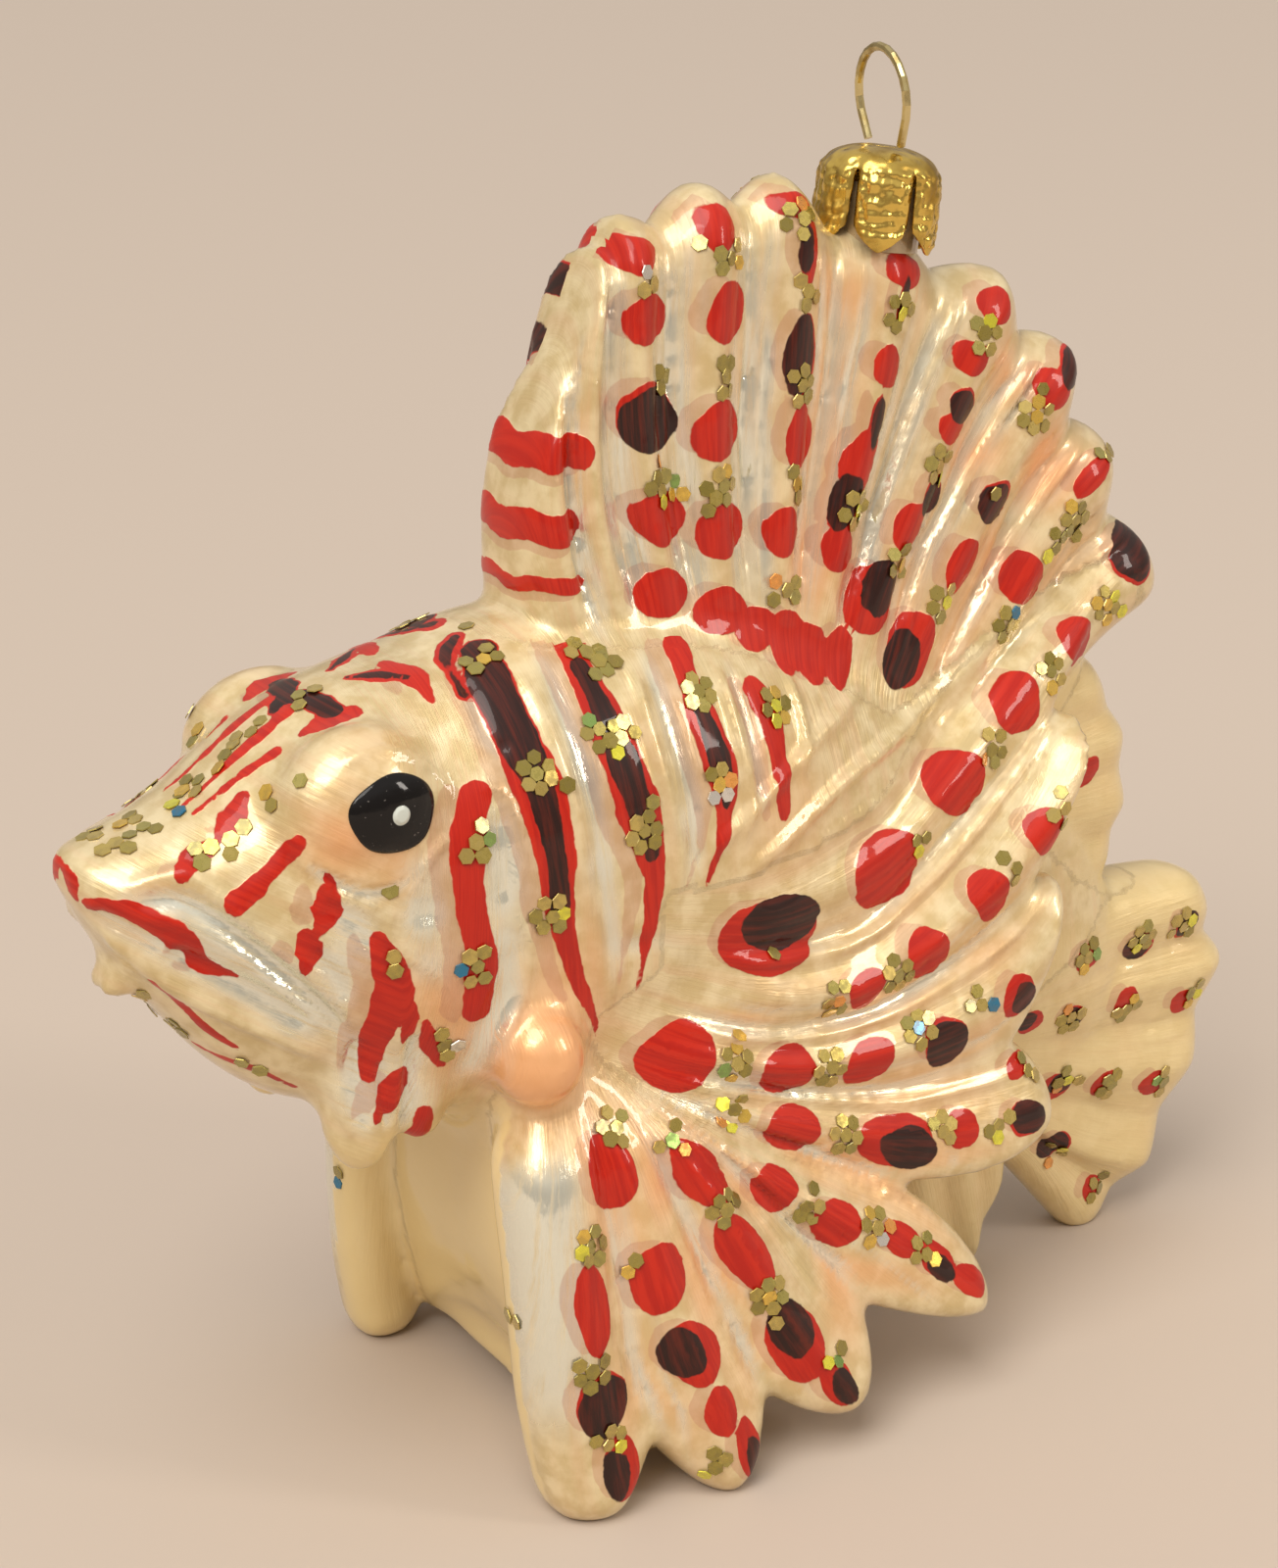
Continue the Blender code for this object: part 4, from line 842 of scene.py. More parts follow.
chance = np.random.default_rng(80)
for colours, widths, path in STROKES:
    for side in (-1, 1):
        line = smooth_rows([on_glass(place, side) for place in path], 4)
        if side > 0:
            line = line + chance.uniform(-0.5, 0.5, 3) * (1, 0, 1)
        wave = chance.uniform(0, 2 * pi, 2)
        for shift, faint in (((0, 0, 0), False), (STROKE_GHOST_SHIFT, True)):
            moved = line + shift
            low, high = moved.min(axis=0) - 4, moved.max(axis=0) + 4
            close = np.flatnonzero(((points > low) & (points < high)).all(axis=1) & (on_fin < 0.9))
            if not len(close):
                continue
            reach, place = near_line(points[close], moved)
            half = np.interp(place, (0, 0.5, 1), widths)
            half = half * (1 + 0.12 * np.sin(9 * place + wave[0]) + 0.06 * np.sin(23 * place + wave[1]))
            if faint:
                if len(path) > GHOST_PATH or widths[1] > GHOST_WIDTH:
                    lay(ghost, close, reach - half * 0.85)
            elif colours == "dark":
                lay(red, close, reach - half - STROKE_MARGIN)
                lay(dark, close, reach - half)
            else:
                lay(red, close, reach - half)
                if colours == "both":
                    lay(dark, close, reach - half * 0.5)

normals = facing()
points += normals * (PAINT_BODY * np.clip(-red / 0.4, 0, 1))[:, None]
BOX_GAP = 0.02
low, high = (np.array(corner) / MM for corner in cad_box)
points = np.clip(points, low + (BOX_GAP, BOX_GAP, 0), high - BOX_GAP)
normals = facing()
surface = skin_tree()

# Silver, pearl lacquer and enamel on the skin
# The bubble is silvered inside, sprayed outside with a warm pearl lacquer, tinted peach in places and
# painted by brush. Where the silver shows bare it is given a light colour, a painted reflection on top of
# the metal's own. Everything lies under a clear gloss.
CREAM = ((0.66, 0.51, 0.25, 1), (0.84, 0.70, 0.42, 1))
CREAM_STREAK = (0.76, 0.48, 0.27, 1)
CREAM_PLAIN = (0.82, 0.64, 0.31, 1)
PEACH_TINT = (0.92, 0.44, 0.19, 1)
# The bare silver colour is lighter than the metal alone would look. It is painted reflection, so the silver
# shows light even where it mirrors a dark room.
SILVER_WITH_PAINTED_SHINE = (0.84, 0.83, 0.70, 1)
GHOST_RED = (0.52, 0.19, 0.13, 1)
ENAMEL_RED = ((0.55, 0.020, 0.006, 1), (0.44, 0.011, 0.004, 1))
ENAMEL_DARK = ((0.022, 0.005, 0.003, 1), (0.10, 0.012, 0.005, 1))
SNOUT_FROM = (30, 40)
RAY_WIDTH, RAY_LENGTH, FIN_APART = 8, 36, 50.0

skin.data.shade_smooth()
layers = {"silver": silver, "peach": peach, "plain": plain, "red": red, "dark": dark, "ghost": ghost}
for name, values in layers.items():
    layer = skin.data.attributes.new(name, "FLOAT", "POINT")
    layer.data.foreach_set("value", values.astype(np.float32))
body_flow = np.column_stack([points[:, 0] + 0.1 * points[:, 2], points[:, 2], np.zeros(count)])
snout_flow = np.column_stack([points[:, 2] + 0.6 * points[:, 0], points[:, 0], np.zeros(count)])
snout = eased(-points[:, 0], *SNOUT_FROM)[:, None]
fin_flow = np.column_stack([fin_u * RAY_WIDTH, fin_v * RAY_LENGTH, fin_number * FIN_APART])
flow = np.where(on_fin[:, None] > 0.5, fin_flow, body_flow * (1 - snout) + snout_flow * snout)
layer = skin.data.attributes.new("flow", "FLOAT_VECTOR", "POINT")
layer.data.foreach_set("vector", flow.astype(np.float32).ravel())


def fill(tree, node, inputs):
    """Gives a node's inputs their values. A value can also be another node's output."""
    for name, value in inputs.items():
        if isinstance(value, bpy.types.NodeSocket):
            tree.links.new(value, node.inputs[name])
        else:
            node.inputs[name].default_value = value
    return node


def put(tree, kind, inputs=None, **settings):
    """A new shader node with these settings."""
    made = tree.nodes.new("ShaderNode" + kind)
    for name, value in settings.items():
        setattr(made, name, value)
    return fill(tree, made, inputs or {})


def layer_value(tree, name, output="Fac"):
    return put(tree, "Attribute", attribute_name=name).outputs[output]


def blend(tree, amount, first, second):
    """A colour between two others."""
    return put(tree, "Mix", {0: amount, 6: first, 7: second}, data_type="RGBA").outputs[2]


def reckon(tree, operation, *values):
    return put(tree, "Math", dict(enumerate(values)), operation=operation).outputs[0]


def times(tree, *values):
    return reckon(tree, "MULTIPLY", *values)


def spread(tree, value, low, high, bottom=0.0, top=1.0):
    """A value carried from one range to another, and held inside it."""
    inputs = {"Value": value, "From Min": low, "From Max": high, "To Min": bottom, "To Max": top}
    return put(tree, "MapRange", inputs, interpolation_type="SMOOTHSTEP").outputs[0]


def new_group(name, inputs, outputs):
    """An empty node group with these sockets, and its input and output nodes."""
    tree = bpy.data.node_groups.new(name, "ShaderNodeTree")
    for socket, kind, value in inputs:
        made = tree.interface.new_socket(socket, in_out="INPUT", socket_type="NodeSocket" + kind)
        if value is not None:
            made.default_value = value
    for socket, kind in outputs:
        tree.interface.new_socket(socket, in_out="OUTPUT", socket_type="NodeSocket" + kind)
    return tree, tree.nodes.new("NodeGroupInput").outputs, tree.nodes.new("NodeGroupOutput").inputs


def use(tree, group, inputs):
    return put(tree, "Group", inputs, node_tree=group).outputs


def new_material(name):
    """A material with its node tree, its shader and the place on the object that its textures use."""
    made = bpy.data.materials.new(name)
    made.use_nodes = True
    tree = made.node_tree
    return made, tree, tree.nodes["Principled BSDF"], put(tree, "TexCoord").outputs["Object"]


# Unevenness of blown glass: slow swells, and the cloudy way that lacquer settles on it.
blown, given, result = new_group(
    "blown_unevenness",
    (("Vector", "Vector", None), ("Swell", "Float", 220.0), ("Cloud", "Float", 420.0)),
    (("Height", "Float"), ("Clouding", "Float")),
)
swell = put(blown, "TexNoise", {"Vector": given["Vector"], "Scale": given["Swell"], "Detail": 2.0})
cloud = put(blown, "TexNoise", {"Vector": given["Vector"], "Scale": given["Cloud"], "Detail": 5.0})
blown.links.new(swell.outputs[0], result["Height"])
blown.links.new(spread(blown, cloud.outputs[0], 0.35, 0.68), result["Clouding"])

# Brush streaks: long narrow marks that run along the strokes or along a fin's rays.
streaks, given, result = new_group(
    "brush_streaks",
    (("Flow", "Vector", None), ("Across", "Float", 1.6), ("Along", "Float", 0.12)),
    (("Fine", "Float"), ("Broad", "Float")),
)
stretch = put(streaks, "CombineXYZ", {"X": given["Across"], "Y": given["Along"], "Z": 1.0})
laid = put(streaks, "VectorMath", {0: given["Flow"], 1: stretch.outputs[0]}, operation="MULTIPLY")
fine = put(streaks, "TexNoise", {"Vector": laid.outputs[0], "Scale": 1.0, "Detail": 4.0, "Roughness": 0.6})
broad = put(streaks, "TexNoise", {"Vector": laid.outputs[0], "Scale": 0.3, "Detail": 2.0})
streaks.links.new(fine.outputs[0], result["Fine"])
streaks.links.new(broad.outputs[0], result["Broad"])

pearl, tree, shader, where = new_material("pearl_glass")
uneven = use(tree, blown, {"Vector": where})
brushed = use(tree, streaks, {"Flow": layer_value(tree, "flow", "Vector")})
ragged = put(tree, "TexNoise", {"Vector": where, "Scale": 600.0, "Detail": 2.0}).outputs[0]
jitter = spread(tree, ragged, 0.3, 0.7, -0.09, 0.09)
marks = {
    name: spread(tree, reckon(tree, "ADD", layer_value(tree, name), jitter), 0.07, -0.07)
    for name in ("red", "dark", "ghost")
}
bare = times(tree, layer_value(tree, "silver"), spread(tree, brushed["Fine"], 0.3, 0.52, 0.35, 1.0))
cream = blend(tree, uneven["Clouding"], *CREAM)
cream = blend(tree, spread(tree, brushed["Broad"], 0.45, 0.7, 0.0, 0.35), cream, CREAM_STREAK)
cream = blend(tree, layer_value(tree, "plain"), cream, CREAM_PLAIN)
tinted = blend(tree, times(tree, layer_value(tree, "peach"), 0.85), cream, PEACH_TINT)
# Bare silver is blended in as a light colour: real silvering, with painted reflection in its brightness.
silver_with_painted_shine = blend(tree, bare, tinted, SILVER_WITH_PAINTED_SHINE)
ghosted = blend(tree, times(tree, marks["ghost"], 0.36), silver_with_painted_shine, GHOST_RED)
enamel_red = blend(tree, spread(tree, brushed["Fine"], 0.38, 0.62), *ENAMEL_RED)
enamel_dark = blend(tree, spread(tree, brushed["Fine"], 0.4, 0.7), *ENAMEL_DARK)
covered = reckon(tree, "MAXIMUM", marks["red"], marks["dark"])
uncovered = reckon(tree, "SUBTRACT", 1.0, covered)
sheen = reckon(tree, "ADD", 0.29, times(tree, bare, 0.42))
sheen = reckon(tree, "SUBTRACT", sheen, times(tree, layer_value(tree, "plain"), 0.26))
dull = spread(tree, bare, 0.0, 1.0, 0.34, 0.12)
depth = times(tree, times(tree, brushed["Fine"], uncovered), 0.5)
depth = reckon(tree, "ADD", depth, times(tree, uneven["Height"], 0.6))
depth = reckon(tree, "ADD", depth, times(tree, covered, 0.4))
fill(tree, shader, {
    "Base Color": blend(tree, marks["dark"], blend(tree, marks["red"], ghosted, enamel_red), enamel_dark),
    "Metallic": times(tree, sheen, uncovered),
    "Roughness": reckon(tree, "ADD", dull, times(tree, covered, 0.1)),
    "Normal": put(tree, "Bump", {"Height": depth, "Strength": 0.55, "Distance": 0.0004}).outputs[0],
    "Coat Weight": spread(tree, covered, 0.0, 1.0, 0.8, 0.4),
    "Coat Roughness": 0.04,
    "Specular IOR Level": 0.2,
})
skin.data.materials.clear()
skin.data.materials.append(pearl)
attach(skin, "root")
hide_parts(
    "head", "trunk", "dorsal_fin", "soft_dorsal_fin", "tail_fin", "anal_fin", "pectoral_fin_left",
    "pectoral_fin_right", "pectoral_base_left", "pectoral_base_right", "chin_flap_left", "chin_flap_right",
)

# Enamel eyes
# A thick drop of glossy black enamel on each eye bulge, with a small white dot set on it.
EYE_AT = (-40.2, 67.4)
EYE_HALF = (3.95, 3.4)
EYE_RISE = 0.45
EYE_WAVES = ((0.03, 3, 0.7), (0.02, 5, 0.0))
EYE_SUNK = 0.08
GLINT_OFF = (0.2, 0.05)
GLINT_RADIUS = 0.78
GLINT_RISE = 0.16
EYE_RINGS = 44
EYE_SPOKES = 96
ENAMEL_BLACK = (0.006, 0.005, 0.005, 1)
ENAMEL_WHITE = (0.62, 0.66, 0.60, 1)
DUST = (0.4, 0.36, 0.33, 1)

black, tree, shader, where = new_material("black_enamel")
glint = spread(tree, layer_value(tree, "glint"), 0.05, -0.05)
dust = put(tree, "TexNoise", {"Vector": where, "Scale": 2600.0, "Detail": 1.0}).outputs[0]
specks = spread(tree, dust, 0.70, 0.76)
ink = blend(tree, times(tree, specks, 0.25), ENAMEL_BLACK, DUST)
ripple = use(tree, blown, {"Vector": where, "Swell": 500.0})["Height"]
fill(tree, shader, {
    "Base Color": blend(tree, glint, ink, ENAMEL_WHITE),
    "Roughness": spread(tree, specks, 0.0, 1.0, 0.10, 0.35),
    "Normal": put(tree, "Bump", {"Height": ripple, "Strength": 0.3, "Distance": 0.0003}).outputs[0],
    "Coat Weight": 0.35,
    "Specular IOR Level": 0.15,
})

for side, name in ((-1, "left"), (1, "right")):
    middle = on_glass(EYE_AT, side)
    hit, normal, index, gap = surface.find_nearest(Vector(middle))
    right = Vector((0, 0, 1)).cross(normal).normalized() * side
    up = normal.cross(right).normalized() * side
    bm = bmesh.new()
    mark = bm.verts.layers.float.new("glint")
    rings = []
    for ring in range(EYE_RINGS + 1):
        share = ring / EYE_RINGS
        loop = []
        for spoke in range(EYE_SPOKES if ring else 1):
            turn = 2 * pi * spoke / EYE_SPOKES
            edge = sum((size * sin(k * turn + start) for size, k, start in EYE_WAVES), 1)
            dx, dz = EYE_HALF[0] * share * edge * cos(turn), EYE_HALF[1] * share * edge * sin(turn)
            start = hit + right * dx + up * dz + normal * 5
            found, found_normal, index, gap = surface.ray_cast(start, -normal)
            inside = np.hypot(dx + side * GLINT_OFF[0] * -1, dz - GLINT_OFF[1]) - GLINT_RADIUS
            rise = EYE_RISE * (1 - share**4) ** 0.6 - (EYE_SUNK if ring == EYE_RINGS else 0)
            rise += GLINT_RISE * float(eased(-inside, 0, 0.3))
            vert = bm.verts.new((found + found_normal * rise) * MM)
            vert[mark] = inside
            loop.append(vert)
        rings.append(loop)
    for spoke in range(EYE_SPOKES):
        after = (spoke + 1) % EYE_SPOKES
        bm.faces.new((rings[0][0], rings[1][spoke], rings[1][after]))
        for inner, outer_ring in zip(rings[1:], rings[2:]):
            bm.faces.new((inner[spoke], outer_ring[spoke], outer_ring[after], inner[after]))
    bm.faces.new(rings[-1])
    eye = mesh_piece("enamel_eye_" + name, bm)
    eye.data.shade_smooth()
    eye.data.materials.append(black)
    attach(eye, "root")
    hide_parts("eye_" + name)

# Gold glitter
# Small clusters of six-sided foil flakes, sprinkled on wet varnish between the dots and on the stripes.
# A cluster on a fin is set by its ray, its place along it and its number of flakes.
FLAKE_RADIUS = 0.78
FLAKE_THICK = 0.09
FLAKE_STEP = 1.34
FLAKE_OUTER = 1.9
FLAKE_SLIP = 0.16
FLAKE_TILT = 0.12
FLAKE_LIFT = (0.08, 0.2)
FLAKE_TAPER = 0.94
FLAKE_SHADE = (0.16, 0.12, 0.05, 1)
FIN_CLUSTERS = {
    "dorsal": (
        (2.65, 0.95, 1), (3.15, 0.89, 5), (2.25, 0.88, 3), (2.4, 0.7, 3), (3.15, 0.67, 5), (4.0, 0.94, 6),
        (4.1, 0.81, 4), (4.1, 0.65, 6), (2.2, 0.52, 5), (2.45, 0.49, 4), (3.05, 0.46, 8), (4.2, 0.48, 4),
        (4.05, 0.29, 5), (5.1, 0.85, 6), (5.2, 0.48, 7), (5.9, 0.86, 6), (6.15, 0.62, 6), (6.15, 0.41, 5),
        (7.1, 0.4, 5), (6.95, 0.81, 8), (7.0, 0.64, 1), (8.1, 0.79, 8), (8.05, 0.7, 4), (8.05, 0.48, 7),
        (7.95, 0.96, 3),
    ),
    "pectoral_left": (
        (0.1, 0.995, 8), (0.1, 0.84, 6), (0.1, 0.66, 6), (0.05, 0.47, 3), (0.45, 0.2, 1),
        (1.05, 0.46, 7), (1.0, 0.87, 4), (1.0, 0.73, 3), (1.05, 0.33, 6),
        (1.9, 0.22, 8), (2.0, 0.42, 7), (1.85, 0.6, 7), (1.9, 0.74, 4),
        (2.85, 0.24, 6), (3.0, 0.48, 7), (2.95, 0.7, 5), (2.9, 0.84, 4), (4.8, 0.17, 4), (5.9, 0.1, 6),
        (5.0, 0.36, 6), (4.1, 0.46, 5), (3.95, 0.63, 7), (3.9, 0.76, 5), (5.05, 0.6, 8), (4.9, 0.84, 3),
        (6.3, 0.42, 2), (6.8, 0.33, 7), (6.2, 0.92, 4), (7.0, 0.6, 6), (6.95, 0.79, 5), (2.65, 0.97, 3),
    ),
    "tail": (
        (0.0, 0.34, 6), (0.2, 0.62, 7), (0.15, 0.8, 6), (1.05, 0.27, 6), (1.25, 0.55, 5), (1.25, 0.84, 4),
        (2.2, 0.35, 5), (2.2, 0.57, 5), (2.2, 0.81, 4), (3.45, 0.51, 4), (3.6, 0.82, 4),
    ),
}
FIN_CLUSTERS["pectoral_right"] = FIN_CLUSTERS["pectoral_left"]
BODY_CLUSTERS = (
    ((-27.5, 76.4), 5), ((-18.6, 76.2), 5), ((-17.6, 74.9), 4), ((-20.2, 70.8), 5), ((-18.4, 70.0), 5),
    ((-26.9, 68.4), 8), ((-17.5, 61.9), 8), ((-27.0, 56.5), 7), ((-9.3, 71.9), 7), ((-9.2, 64.4), 6),
    ((-1.1, 69.1), 7), ((-33.4, 64.0), 5), ((-33.7, 53.1), 6), ((-40.6, 60.8), 1), ((-40.8, 55.1), 2),
    ((-35.8, 45.7), 4), ((-46.8, 70.5), 1), ((-48.4, 68.8), 2), ((-51.9, 65.6), 3), ((-53.4, 64.9), 3),
    ((-59.6, -2.0, 65.0), 3), ((-57.0, -1.6, 65.8), 3), ((-54.0, -1.0, 66.8), 3), ((-51.4, -0.6, 68.2), 4),
    ((-48.9, -0.8, 70.0), 3), ((-46.6, -0.8, 71.6), 3), ((-26.1, -1.0, 77.8), 1), ((-58.4, -2.0, 50.6), 2),
    ((-55.6, -3.0, 48.6), 3), ((-51.0, -6.4, 45.2), 2), ((-42.0, -1.0, 74.0), 3), ((-31.4, -16.4, 19.6), 2),
)
# The share of flakes below which each colour starts.
FLAKE_TONES = (
    (0.00, (0.34, 0.27, 0.05)), (0.22, (0.46, 0.36, 0.08)), (0.48, (0.56, 0.42, 0.11)),
    (0.66, (0.40, 0.34, 0.08)), (0.80, (0.80, 0.52, 0.08)), (0.88, (0.90, 0.38, 0.08)),
    (0.915, (0.85, 0.80, 0.06)), (0.95, (0.26, 0.42, 0.10)), (0.97, (0.02, 0.20, 0.36)),
    (0.985, (0.70, 0.66, 0.60)),
)

foil, tree, shader, where = new_material("glitter_foil")
tones = put(tree, "ValToRGB", {"Fac": layer_value(tree, "tone")})
tones.color_ramp.interpolation = "CONSTANT"
for k, (position, colour) in enumerate(FLAKE_TONES):
    stop = tones.color_ramp.elements[k] if k < 2 else tones.color_ramp.elements.new(position)
    stop.position = position
    stop.color = (*colour, 1)
smear = use(tree, blown, {"Vector": where, "Swell": 700.0, "Cloud": 1500.0})["Clouding"]
fill(tree, shader, {
    "Base Color": blend(tree, times(tree, smear, 0.35), tones.outputs[0], FLAKE_SHADE),
    "Roughness": spread(tree, smear, 0.0, 1.0, 0.22, 0.42),
    "Metallic": 0.6,
    "Coat Weight": 0.6,
})

chance = np.random.default_rng(90)
centres = []
names = list(FINS)
for name, clusters in FIN_CLUSTERS.items():
    samples = grids[grids[:, 12] == names.index(name)]
    for u, v, flakes in clusters:
        for side in (-1, 1):
            if name.startswith("pectoral") and (side > 0) != name.endswith("right"):
                continue
            shift_u, shift_v = chance.uniform(-0.1, 0.1, 2) * (side > 0)
            miss = np.abs(samples[:, 10] - u - shift_u) + 4 * np.abs(samples[:, 11] - v - 0.3 * shift_v)
            sample = samples[miss.argmin()]
            level = sample[:3] + (0, side * sample[9], 0)
            hit, normal, index, gap = surface.find_nearest(Vector(level))
            centres.append((hit, normal, flakes))
for place, flakes in BODY_CLUSTERS:
    for side in (-1, 1):
        if len(place) == 3 and abs(place[1]) < 1.2 and side > 0:
            continue
        hit, normal, index, gap = surface.find_nearest(Vector(on_glass(place, side)))
        centres.append((hit, normal, flakes))
bm = bmesh.new()
tone_layer = bm.verts.layers.float.new("tone")
for centre, normal, flakes in centres:
    right = normal.orthogonal().normalized()
    right.rotate(Matrix.Rotation(chance.uniform(0, 2 * pi), 3, normal))
    up = normal.cross(right)
    order = [None] + list(chance.permutation(6))
    order += [6] * max(0, flakes - len(order))
    for k in order[:flakes]:
        turn = 0 if k is None else k * pi / 3
        step = 0 if k is None else FLAKE_STEP * (1 if k < 6 else FLAKE_OUTER)
        dx = step * cos(turn) + chance.uniform(-FLAKE_SLIP, FLAKE_SLIP)
        dy = step * sin(turn) + chance.uniform(-FLAKE_SLIP, FLAKE_SLIP)
        start = centre + right * dx + up * dy + normal * 2.5
        hit, outward, index, gap = surface.ray_cast(start, -normal, 6)
        if hit is None:
            continue
        tilt = Vector(chance.uniform(-FLAKE_TILT, FLAKE_TILT, 3))
        lean = (outward + tilt).normalized()
        spin = Matrix.Rotation(chance.uniform(0, pi / 3), 4, "Z")
        size = FLAKE_RADIUS * chance.uniform(0.88, 1.06)
        place = Matrix.Translation((hit + outward * chance.uniform(*FLAKE_LIFT)) * MM)
        place = place @ lean.to_track_quat("Z", "Y").to_matrix().to_4x4() @ spin
        tone = chance.uniform()
        made = bmesh.ops.create_cone(
            bm, cap_ends=True, segments=6, radius1=size * MM, radius2=size * FLAKE_TAPER * MM,
            depth=FLAKE_THICK * MM, matrix=place,
        )
        for vert in made["verts"]:
            vert[tone_layer] = tone
for vert in bm.verts:
    vert.co = np.clip(vert.co, (low + BOX_GAP) * MM, (high - BOX_GAP) * MM)
glitter = mesh_piece("gold_glitter", bm)
glitter.data.materials.append(foil)
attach(glitter, "root")

# Glass neck
# The short tube that the bubble was blown through. The cap is sprung over it, so little of it shows.
NECK_TONES = ((0.34, 0.24, 0.12, 1), (0.50, 0.38, 0.22, 1))

neck_glass, tree, shader, where = new_material("neck_glass")
uneven = use(tree, blown, {"Vector": where, "Swell": 400.0})
fill(tree, shader, {
    "Base Color": blend(tree, uneven["Clouding"], *NECK_TONES),
    "Roughness": spread(tree, uneven["Height"], 0.3, 0.7, 0.2, 0.4),
    "Metallic": 0.3,
    "Coat Weight": 1.0,
})
bpy.data.objects["neck"].material_slots[0].material = neck_glass

# Crown cap
# A cup stamped from thin gold-plated sheet, its skirt cut into six pointed petals with an embossed face.
CAP_AT = (16.8, 0.0, 106.2)
CAP_LEAN = radians(8)
CAP_RADIUS = 5.6
CAP_HEIGHT = 9.0
CAP_PROFILE = (
    (0.0, 1.0), (1.2, 1.01), (3.5, 1.0), (6.4, 0.98), (7.6, 0.92), (8.3, 0.78), (8.8, 0.55), (9.0, 0.3),
    (9.0, 0.0),
)
PETALS = 6
PETAL_STEPS = 31
POINT_RISE = 2.0
POINT_TOP = 2.4
SLIT_TOP = 7.0
SLIT_HALF = (1.5, 3.0)
SHEET = 0.28
SHEET_BOW = 0.35
SHEET_INSET = 0.3
BEAD_ROWS = 9
BEAD_COLUMNS = 6
BEAD_RADIUS = 0.62
BEAD_RISE = 0.26
BEAD_STRETCH = 2.6
BEAD_STEP = 0.92
EMBOSSED_TOP = 7.6
GOLD = ((0.80, 0.56, 0.13, 1), (0.40, 0.25, 0.05, 1))

metal_wear, given, result = new_group(
    "metal_wear",
    (("Vector", "Vector", None), ("Grain", "Float", 900.0), ("Tarnish", "Float", 260.0)),
    (("Crumple", "Float"), ("Tarnish", "Float")),
)
grain = {"Vector": given["Vector"], "Scale": given["Grain"]}
crumple = put(metal_wear, "TexVoronoi", grain, feature="SMOOTH_F1")
stain = put(metal_wear, "TexNoise", {"Vector": given["Vector"], "Scale": given["Tarnish"], "Detail": 5.0})
metal_wear.links.new(crumple.outputs["Distance"], result["Crumple"])
metal_wear.links.new(spread(metal_wear, stain.outputs[0], 0.42, 0.68), result["Tarnish"])


def metal(name, tones, roughness, dents, **wear):
    """A gold finish from its bright and tarnished colours, its roughness, and how strong and deep its
    dents are."""
    made, tree, shader, where = new_material(name)
    worn = use(tree, metal_wear, {"Vector": where, **wear})
    relief = {"Height": worn["Crumple"], "Strength": dents[0], "Distance": dents[1]}
    fill(tree, shader, {
        "Base Color": blend(tree, worn["Tarnish"], *tones),
        "Roughness": spread(tree, worn["Tarnish"], 0.0, 1.0, *roughness),
        "Normal": put(tree, "Bump", relief).outputs[0],
        "Metallic": 1.0,
    })
    return made


chance = np.random.default_rng(95)
cap_place = Matrix.Translation(Vector(CAP_AT) * MM) @ Matrix.Rotation(CAP_LEAN, 4, "Y")
profile = smooth_rows(CAP_PROFILE, 10)
bm = bmesh.new()
for petal in range(PETALS):
    beads = [
        ((column + 0.5 + chance.uniform(-0.28, 0.28)) / BEAD_COLUMNS * 2 - 1,
         0.5 + (row + chance.uniform(-0.25, 0.25)) * BEAD_STEP, chance.uniform(0.6, 1.1))
        for row in range(BEAD_ROWS) for column in range(BEAD_COLUMNS)
    ]
    columns = []
    for s in np.linspace(-1, 1, PETAL_STEPS):
        column = []
        for height, part in profile:
            slit = radians(SLIT_HALF[0] + SLIT_HALF[1] * (1 - height / SLIT_TOP)) if height < SLIT_TOP else 0
            turn = s * (pi / PETALS - slit) + petal * 2 * pi / PETALS
            rise = height
            if height < POINT_TOP:
                rise = height + POINT_RISE * abs(s) ** 1.4 * (1 - height / POINT_TOP)
                rise = min(rise, POINT_TOP + (height - POINT_TOP) * 0.01)
            boss = 0.0
            for bead_s, bead_h, size in beads:
                reach = np.hypot((s - bead_s) * BEAD_STRETCH, rise - bead_h) / (BEAD_RADIUS * size)
                if reach < 1:
                    boss = max(boss, BEAD_RISE * size * (1 - reach**2) ** 0.5)
            boss *= float(eased(rise, 0.3, 0.9)) * float(eased(EMBOSSED_TOP - rise, 0, 0.8))
            boss *= float(eased(1 - abs(s), 0.02, 0.15))
            bow = SHEET_BOW * (1 - s * s) * min(1, (CAP_HEIGHT - height) / 3)
            pressed = boss + bow - SHEET_INSET if height < CAP_HEIGHT - 0.01 else 0
            out = CAP_RADIUS * part + pressed * min(1, part * 2)
            column.append(bm.verts.new(Vector((out * cos(turn), out * sin(turn), rise)) * MM))
        columns.append(column)
    for one, two in zip(columns, columns[1:]):
        for k in range(len(profile) - 1):
            bm.faces.new((one[k], two[k], two[k + 1], one[k + 1]))
bmesh.ops.remove_doubles(bm, verts=bm.verts, dist=0.00003)
bmesh.ops.dissolve_degenerate(bm, dist=MERGE, edges=bm.edges)
bmesh.ops.transform(bm, matrix=cap_place, verts=bm.verts)
cap = mesh_piece("crown_cap", bm)
sheet = cap.modifiers.new("sheet", "SOLIDIFY")
sheet.thickness = SHEET * MM
sheet.offset = -1
apply_modifiers(cap)
cap.data.shade_smooth()
cap.data.materials.append(metal("stamped_gold", GOLD, (0.2, 0.42), (0.8, 0.0003)))
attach(cap, "root")
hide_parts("cap")

# Wire loop
# Springy gold-washed wire, bent to an eye and sprung into the cap. The wash is worn pale in places.
WIRE_GOLD = ((0.72, 0.60, 0.30, 1), (0.38, 0.28, 0.10, 1))
wire_gold = metal("wire_gold", WIRE_GOLD, (0.25, 0.4), (0.2, 0.0001), Grain=1500.0, Tarnish=420.0)
bpy.data.objects["hanger_loop"].material_slots[0].material = wire_gold

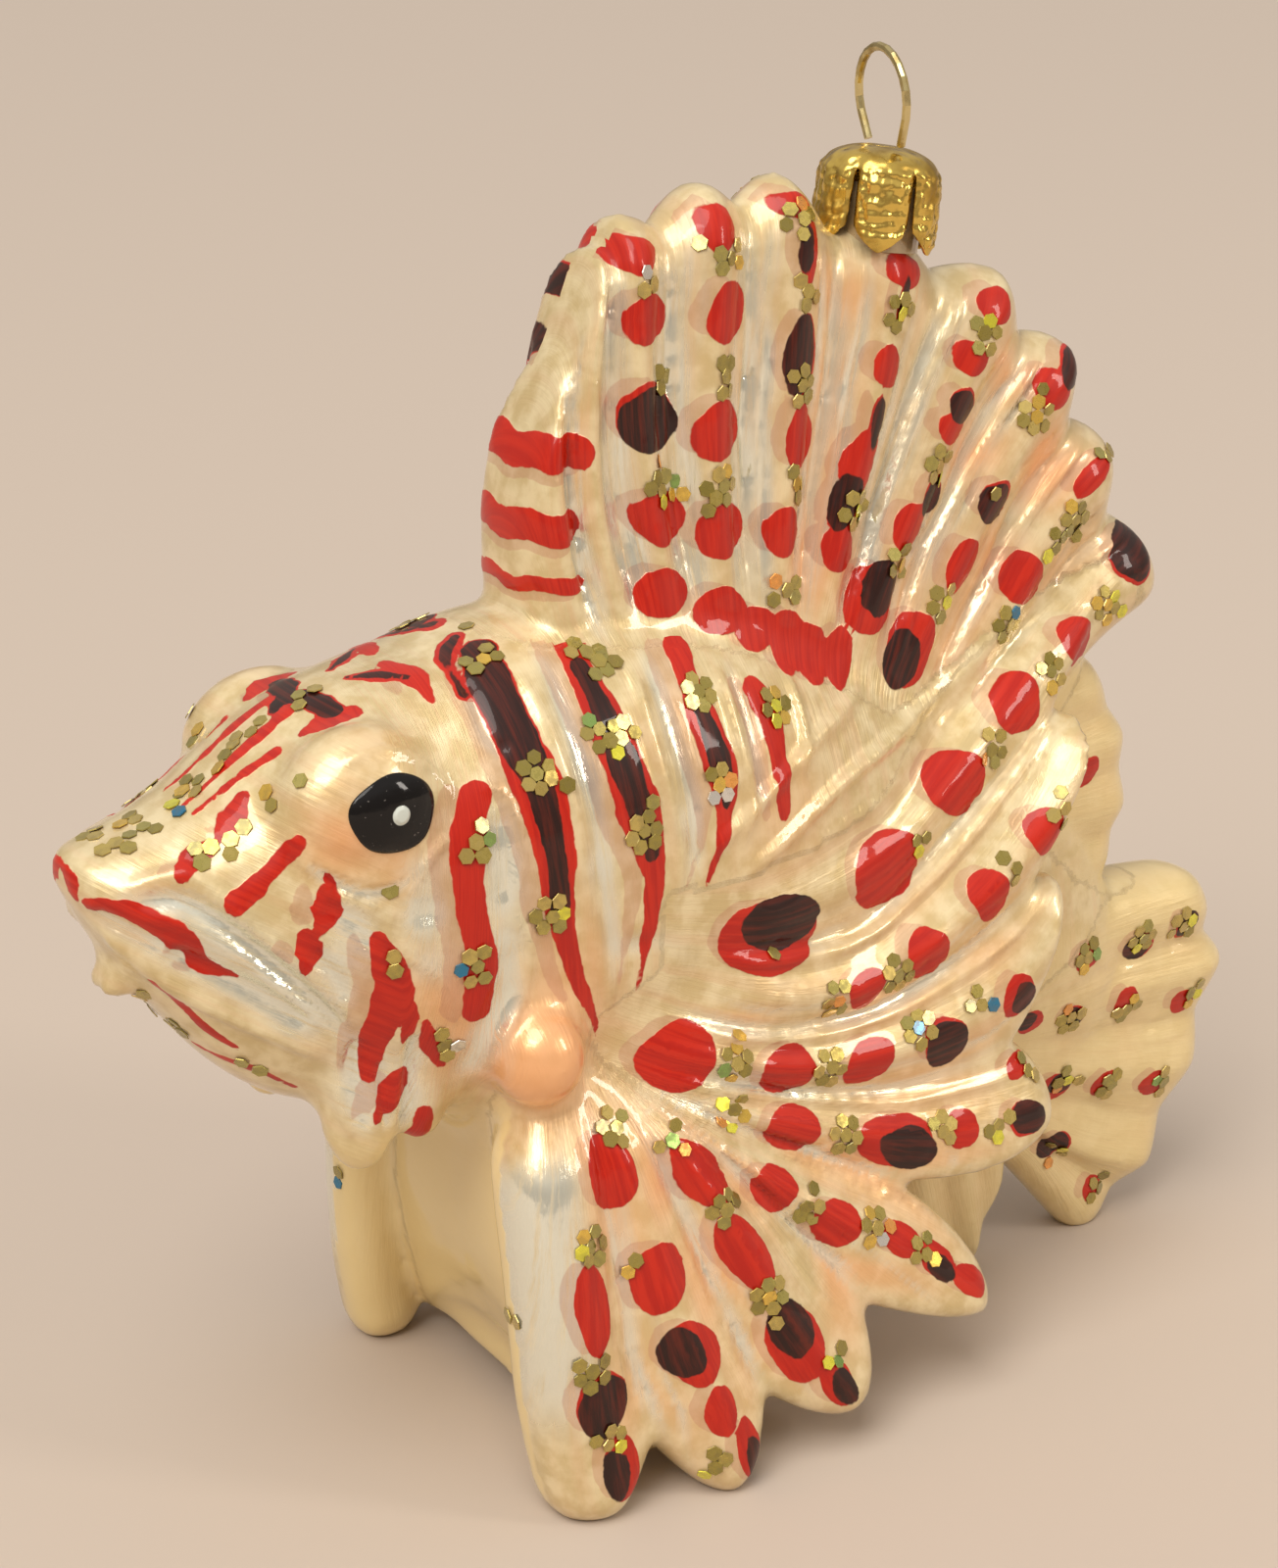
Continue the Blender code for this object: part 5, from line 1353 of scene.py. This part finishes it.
# Table top, studio light and camera
# A plain pale surface under soft window-like panels, seen from the fish's left front and a little above.
floor_mesh = bpy.data.meshes.new("table_top")
floor_mesh.from_pydata([(-3, -3, 0), (3, -3, 0), (3, 3, 0), (-3, 3, 0)], [], [(0, 1, 2, 3)])
floor = bpy.data.objects.new("table_top", floor_mesh)
bpy.context.scene.collection.objects.link(floor)
paper, tree, shader, where = new_material("plain_table")
fill(tree, shader, {"Base Color": (0.54, 0.455, 0.38, 1), "Roughness": 0.8})
floor_mesh.materials.append(paper)

CAMERA_AIM = Vector((-7.8, 0, 59.5)) * MM
CAMERA_AROUND = radians(-32.3)
CAMERA_ABOVE = radians(19.8)
CAMERA_AWAY = 281.3 * MM
VIEW_HEIGHT = radians(28.5)
SENSOR = 36
ROOM_TONES = ((0.40, 0.345, 0.295, 1), (0.80, 0.76, 0.72, 1))
back = Vector((
    sin(CAMERA_AROUND) * cos(CAMERA_ABOVE), -cos(CAMERA_AROUND) * cos(CAMERA_ABOVE), sin(CAMERA_ABOVE)
))
camera = bpy.data.objects.new("camera", bpy.data.cameras.new("camera"))
camera.data.sensor_width = SENSOR
camera.data.lens = SENSOR / 2 / tan(VIEW_HEIGHT / 2)
camera.data.clip_start = 0.01
camera.location = CAMERA_AIM + back * CAMERA_AWAY
camera.rotation_mode = "QUATERNION"
camera.rotation_quaternion = (-back).to_track_quat("-Z", "Y")
bpy.context.scene.collection.objects.link(camera)
bpy.context.scene.camera = camera


def studio_light(name, kind, power, colour, facing, place=(0, 0, 0)):
    """A light at this place that shines this way."""
    light = bpy.data.lights.new(name, kind)
    light.energy = power
    light.color = colour
    lamp = bpy.data.objects.new(name, light)
    lamp.location = place
    lamp.rotation_mode = "QUATERNION"
    lamp.rotation_quaternion = Vector(facing).to_track_quat("-Z", "Y")
    bpy.context.scene.collection.objects.link(lamp)
    return light


for name, place, size, power, colour in (
    ("window_panel", (-0.9, -0.5, 0.9), (0.5, 0.35), 3.5, (1.0, 0.95, 0.88)),
    ("side_panel", (0.8, -0.9, 0.6), (0.2, 0.5), 4, (1.0, 0.92, 0.84)),
):
    panel = studio_light(name, "AREA", power, colour, CAMERA_AIM - Vector(place), place)
    panel.shape = "RECTANGLE"
    panel.size, panel.size_y = size
sky = studio_light("soft_sky", "SUN", 1.85, (1.0, 0.96, 0.91), (0.5, 0.3, -1.0))
sky.angle = radians(40)
world = bpy.data.worlds.new("room")
bpy.context.scene.world = world
world.use_nodes = True
tree = world.node_tree
room = put(tree, "TexCoord").outputs["Generated"]
height = put(tree, "SeparateXYZ", {"Vector": room}).outputs["Z"]
shade = blend(tree, spread(tree, height, 0.1, 0.7), *ROOM_TONES)
fill(tree, tree.nodes["Background"], {"Color": shade, "Strength": 0.8})
bpy.context.scene.view_settings.view_transform = "Standard"

bpy.context.view_layer.update()
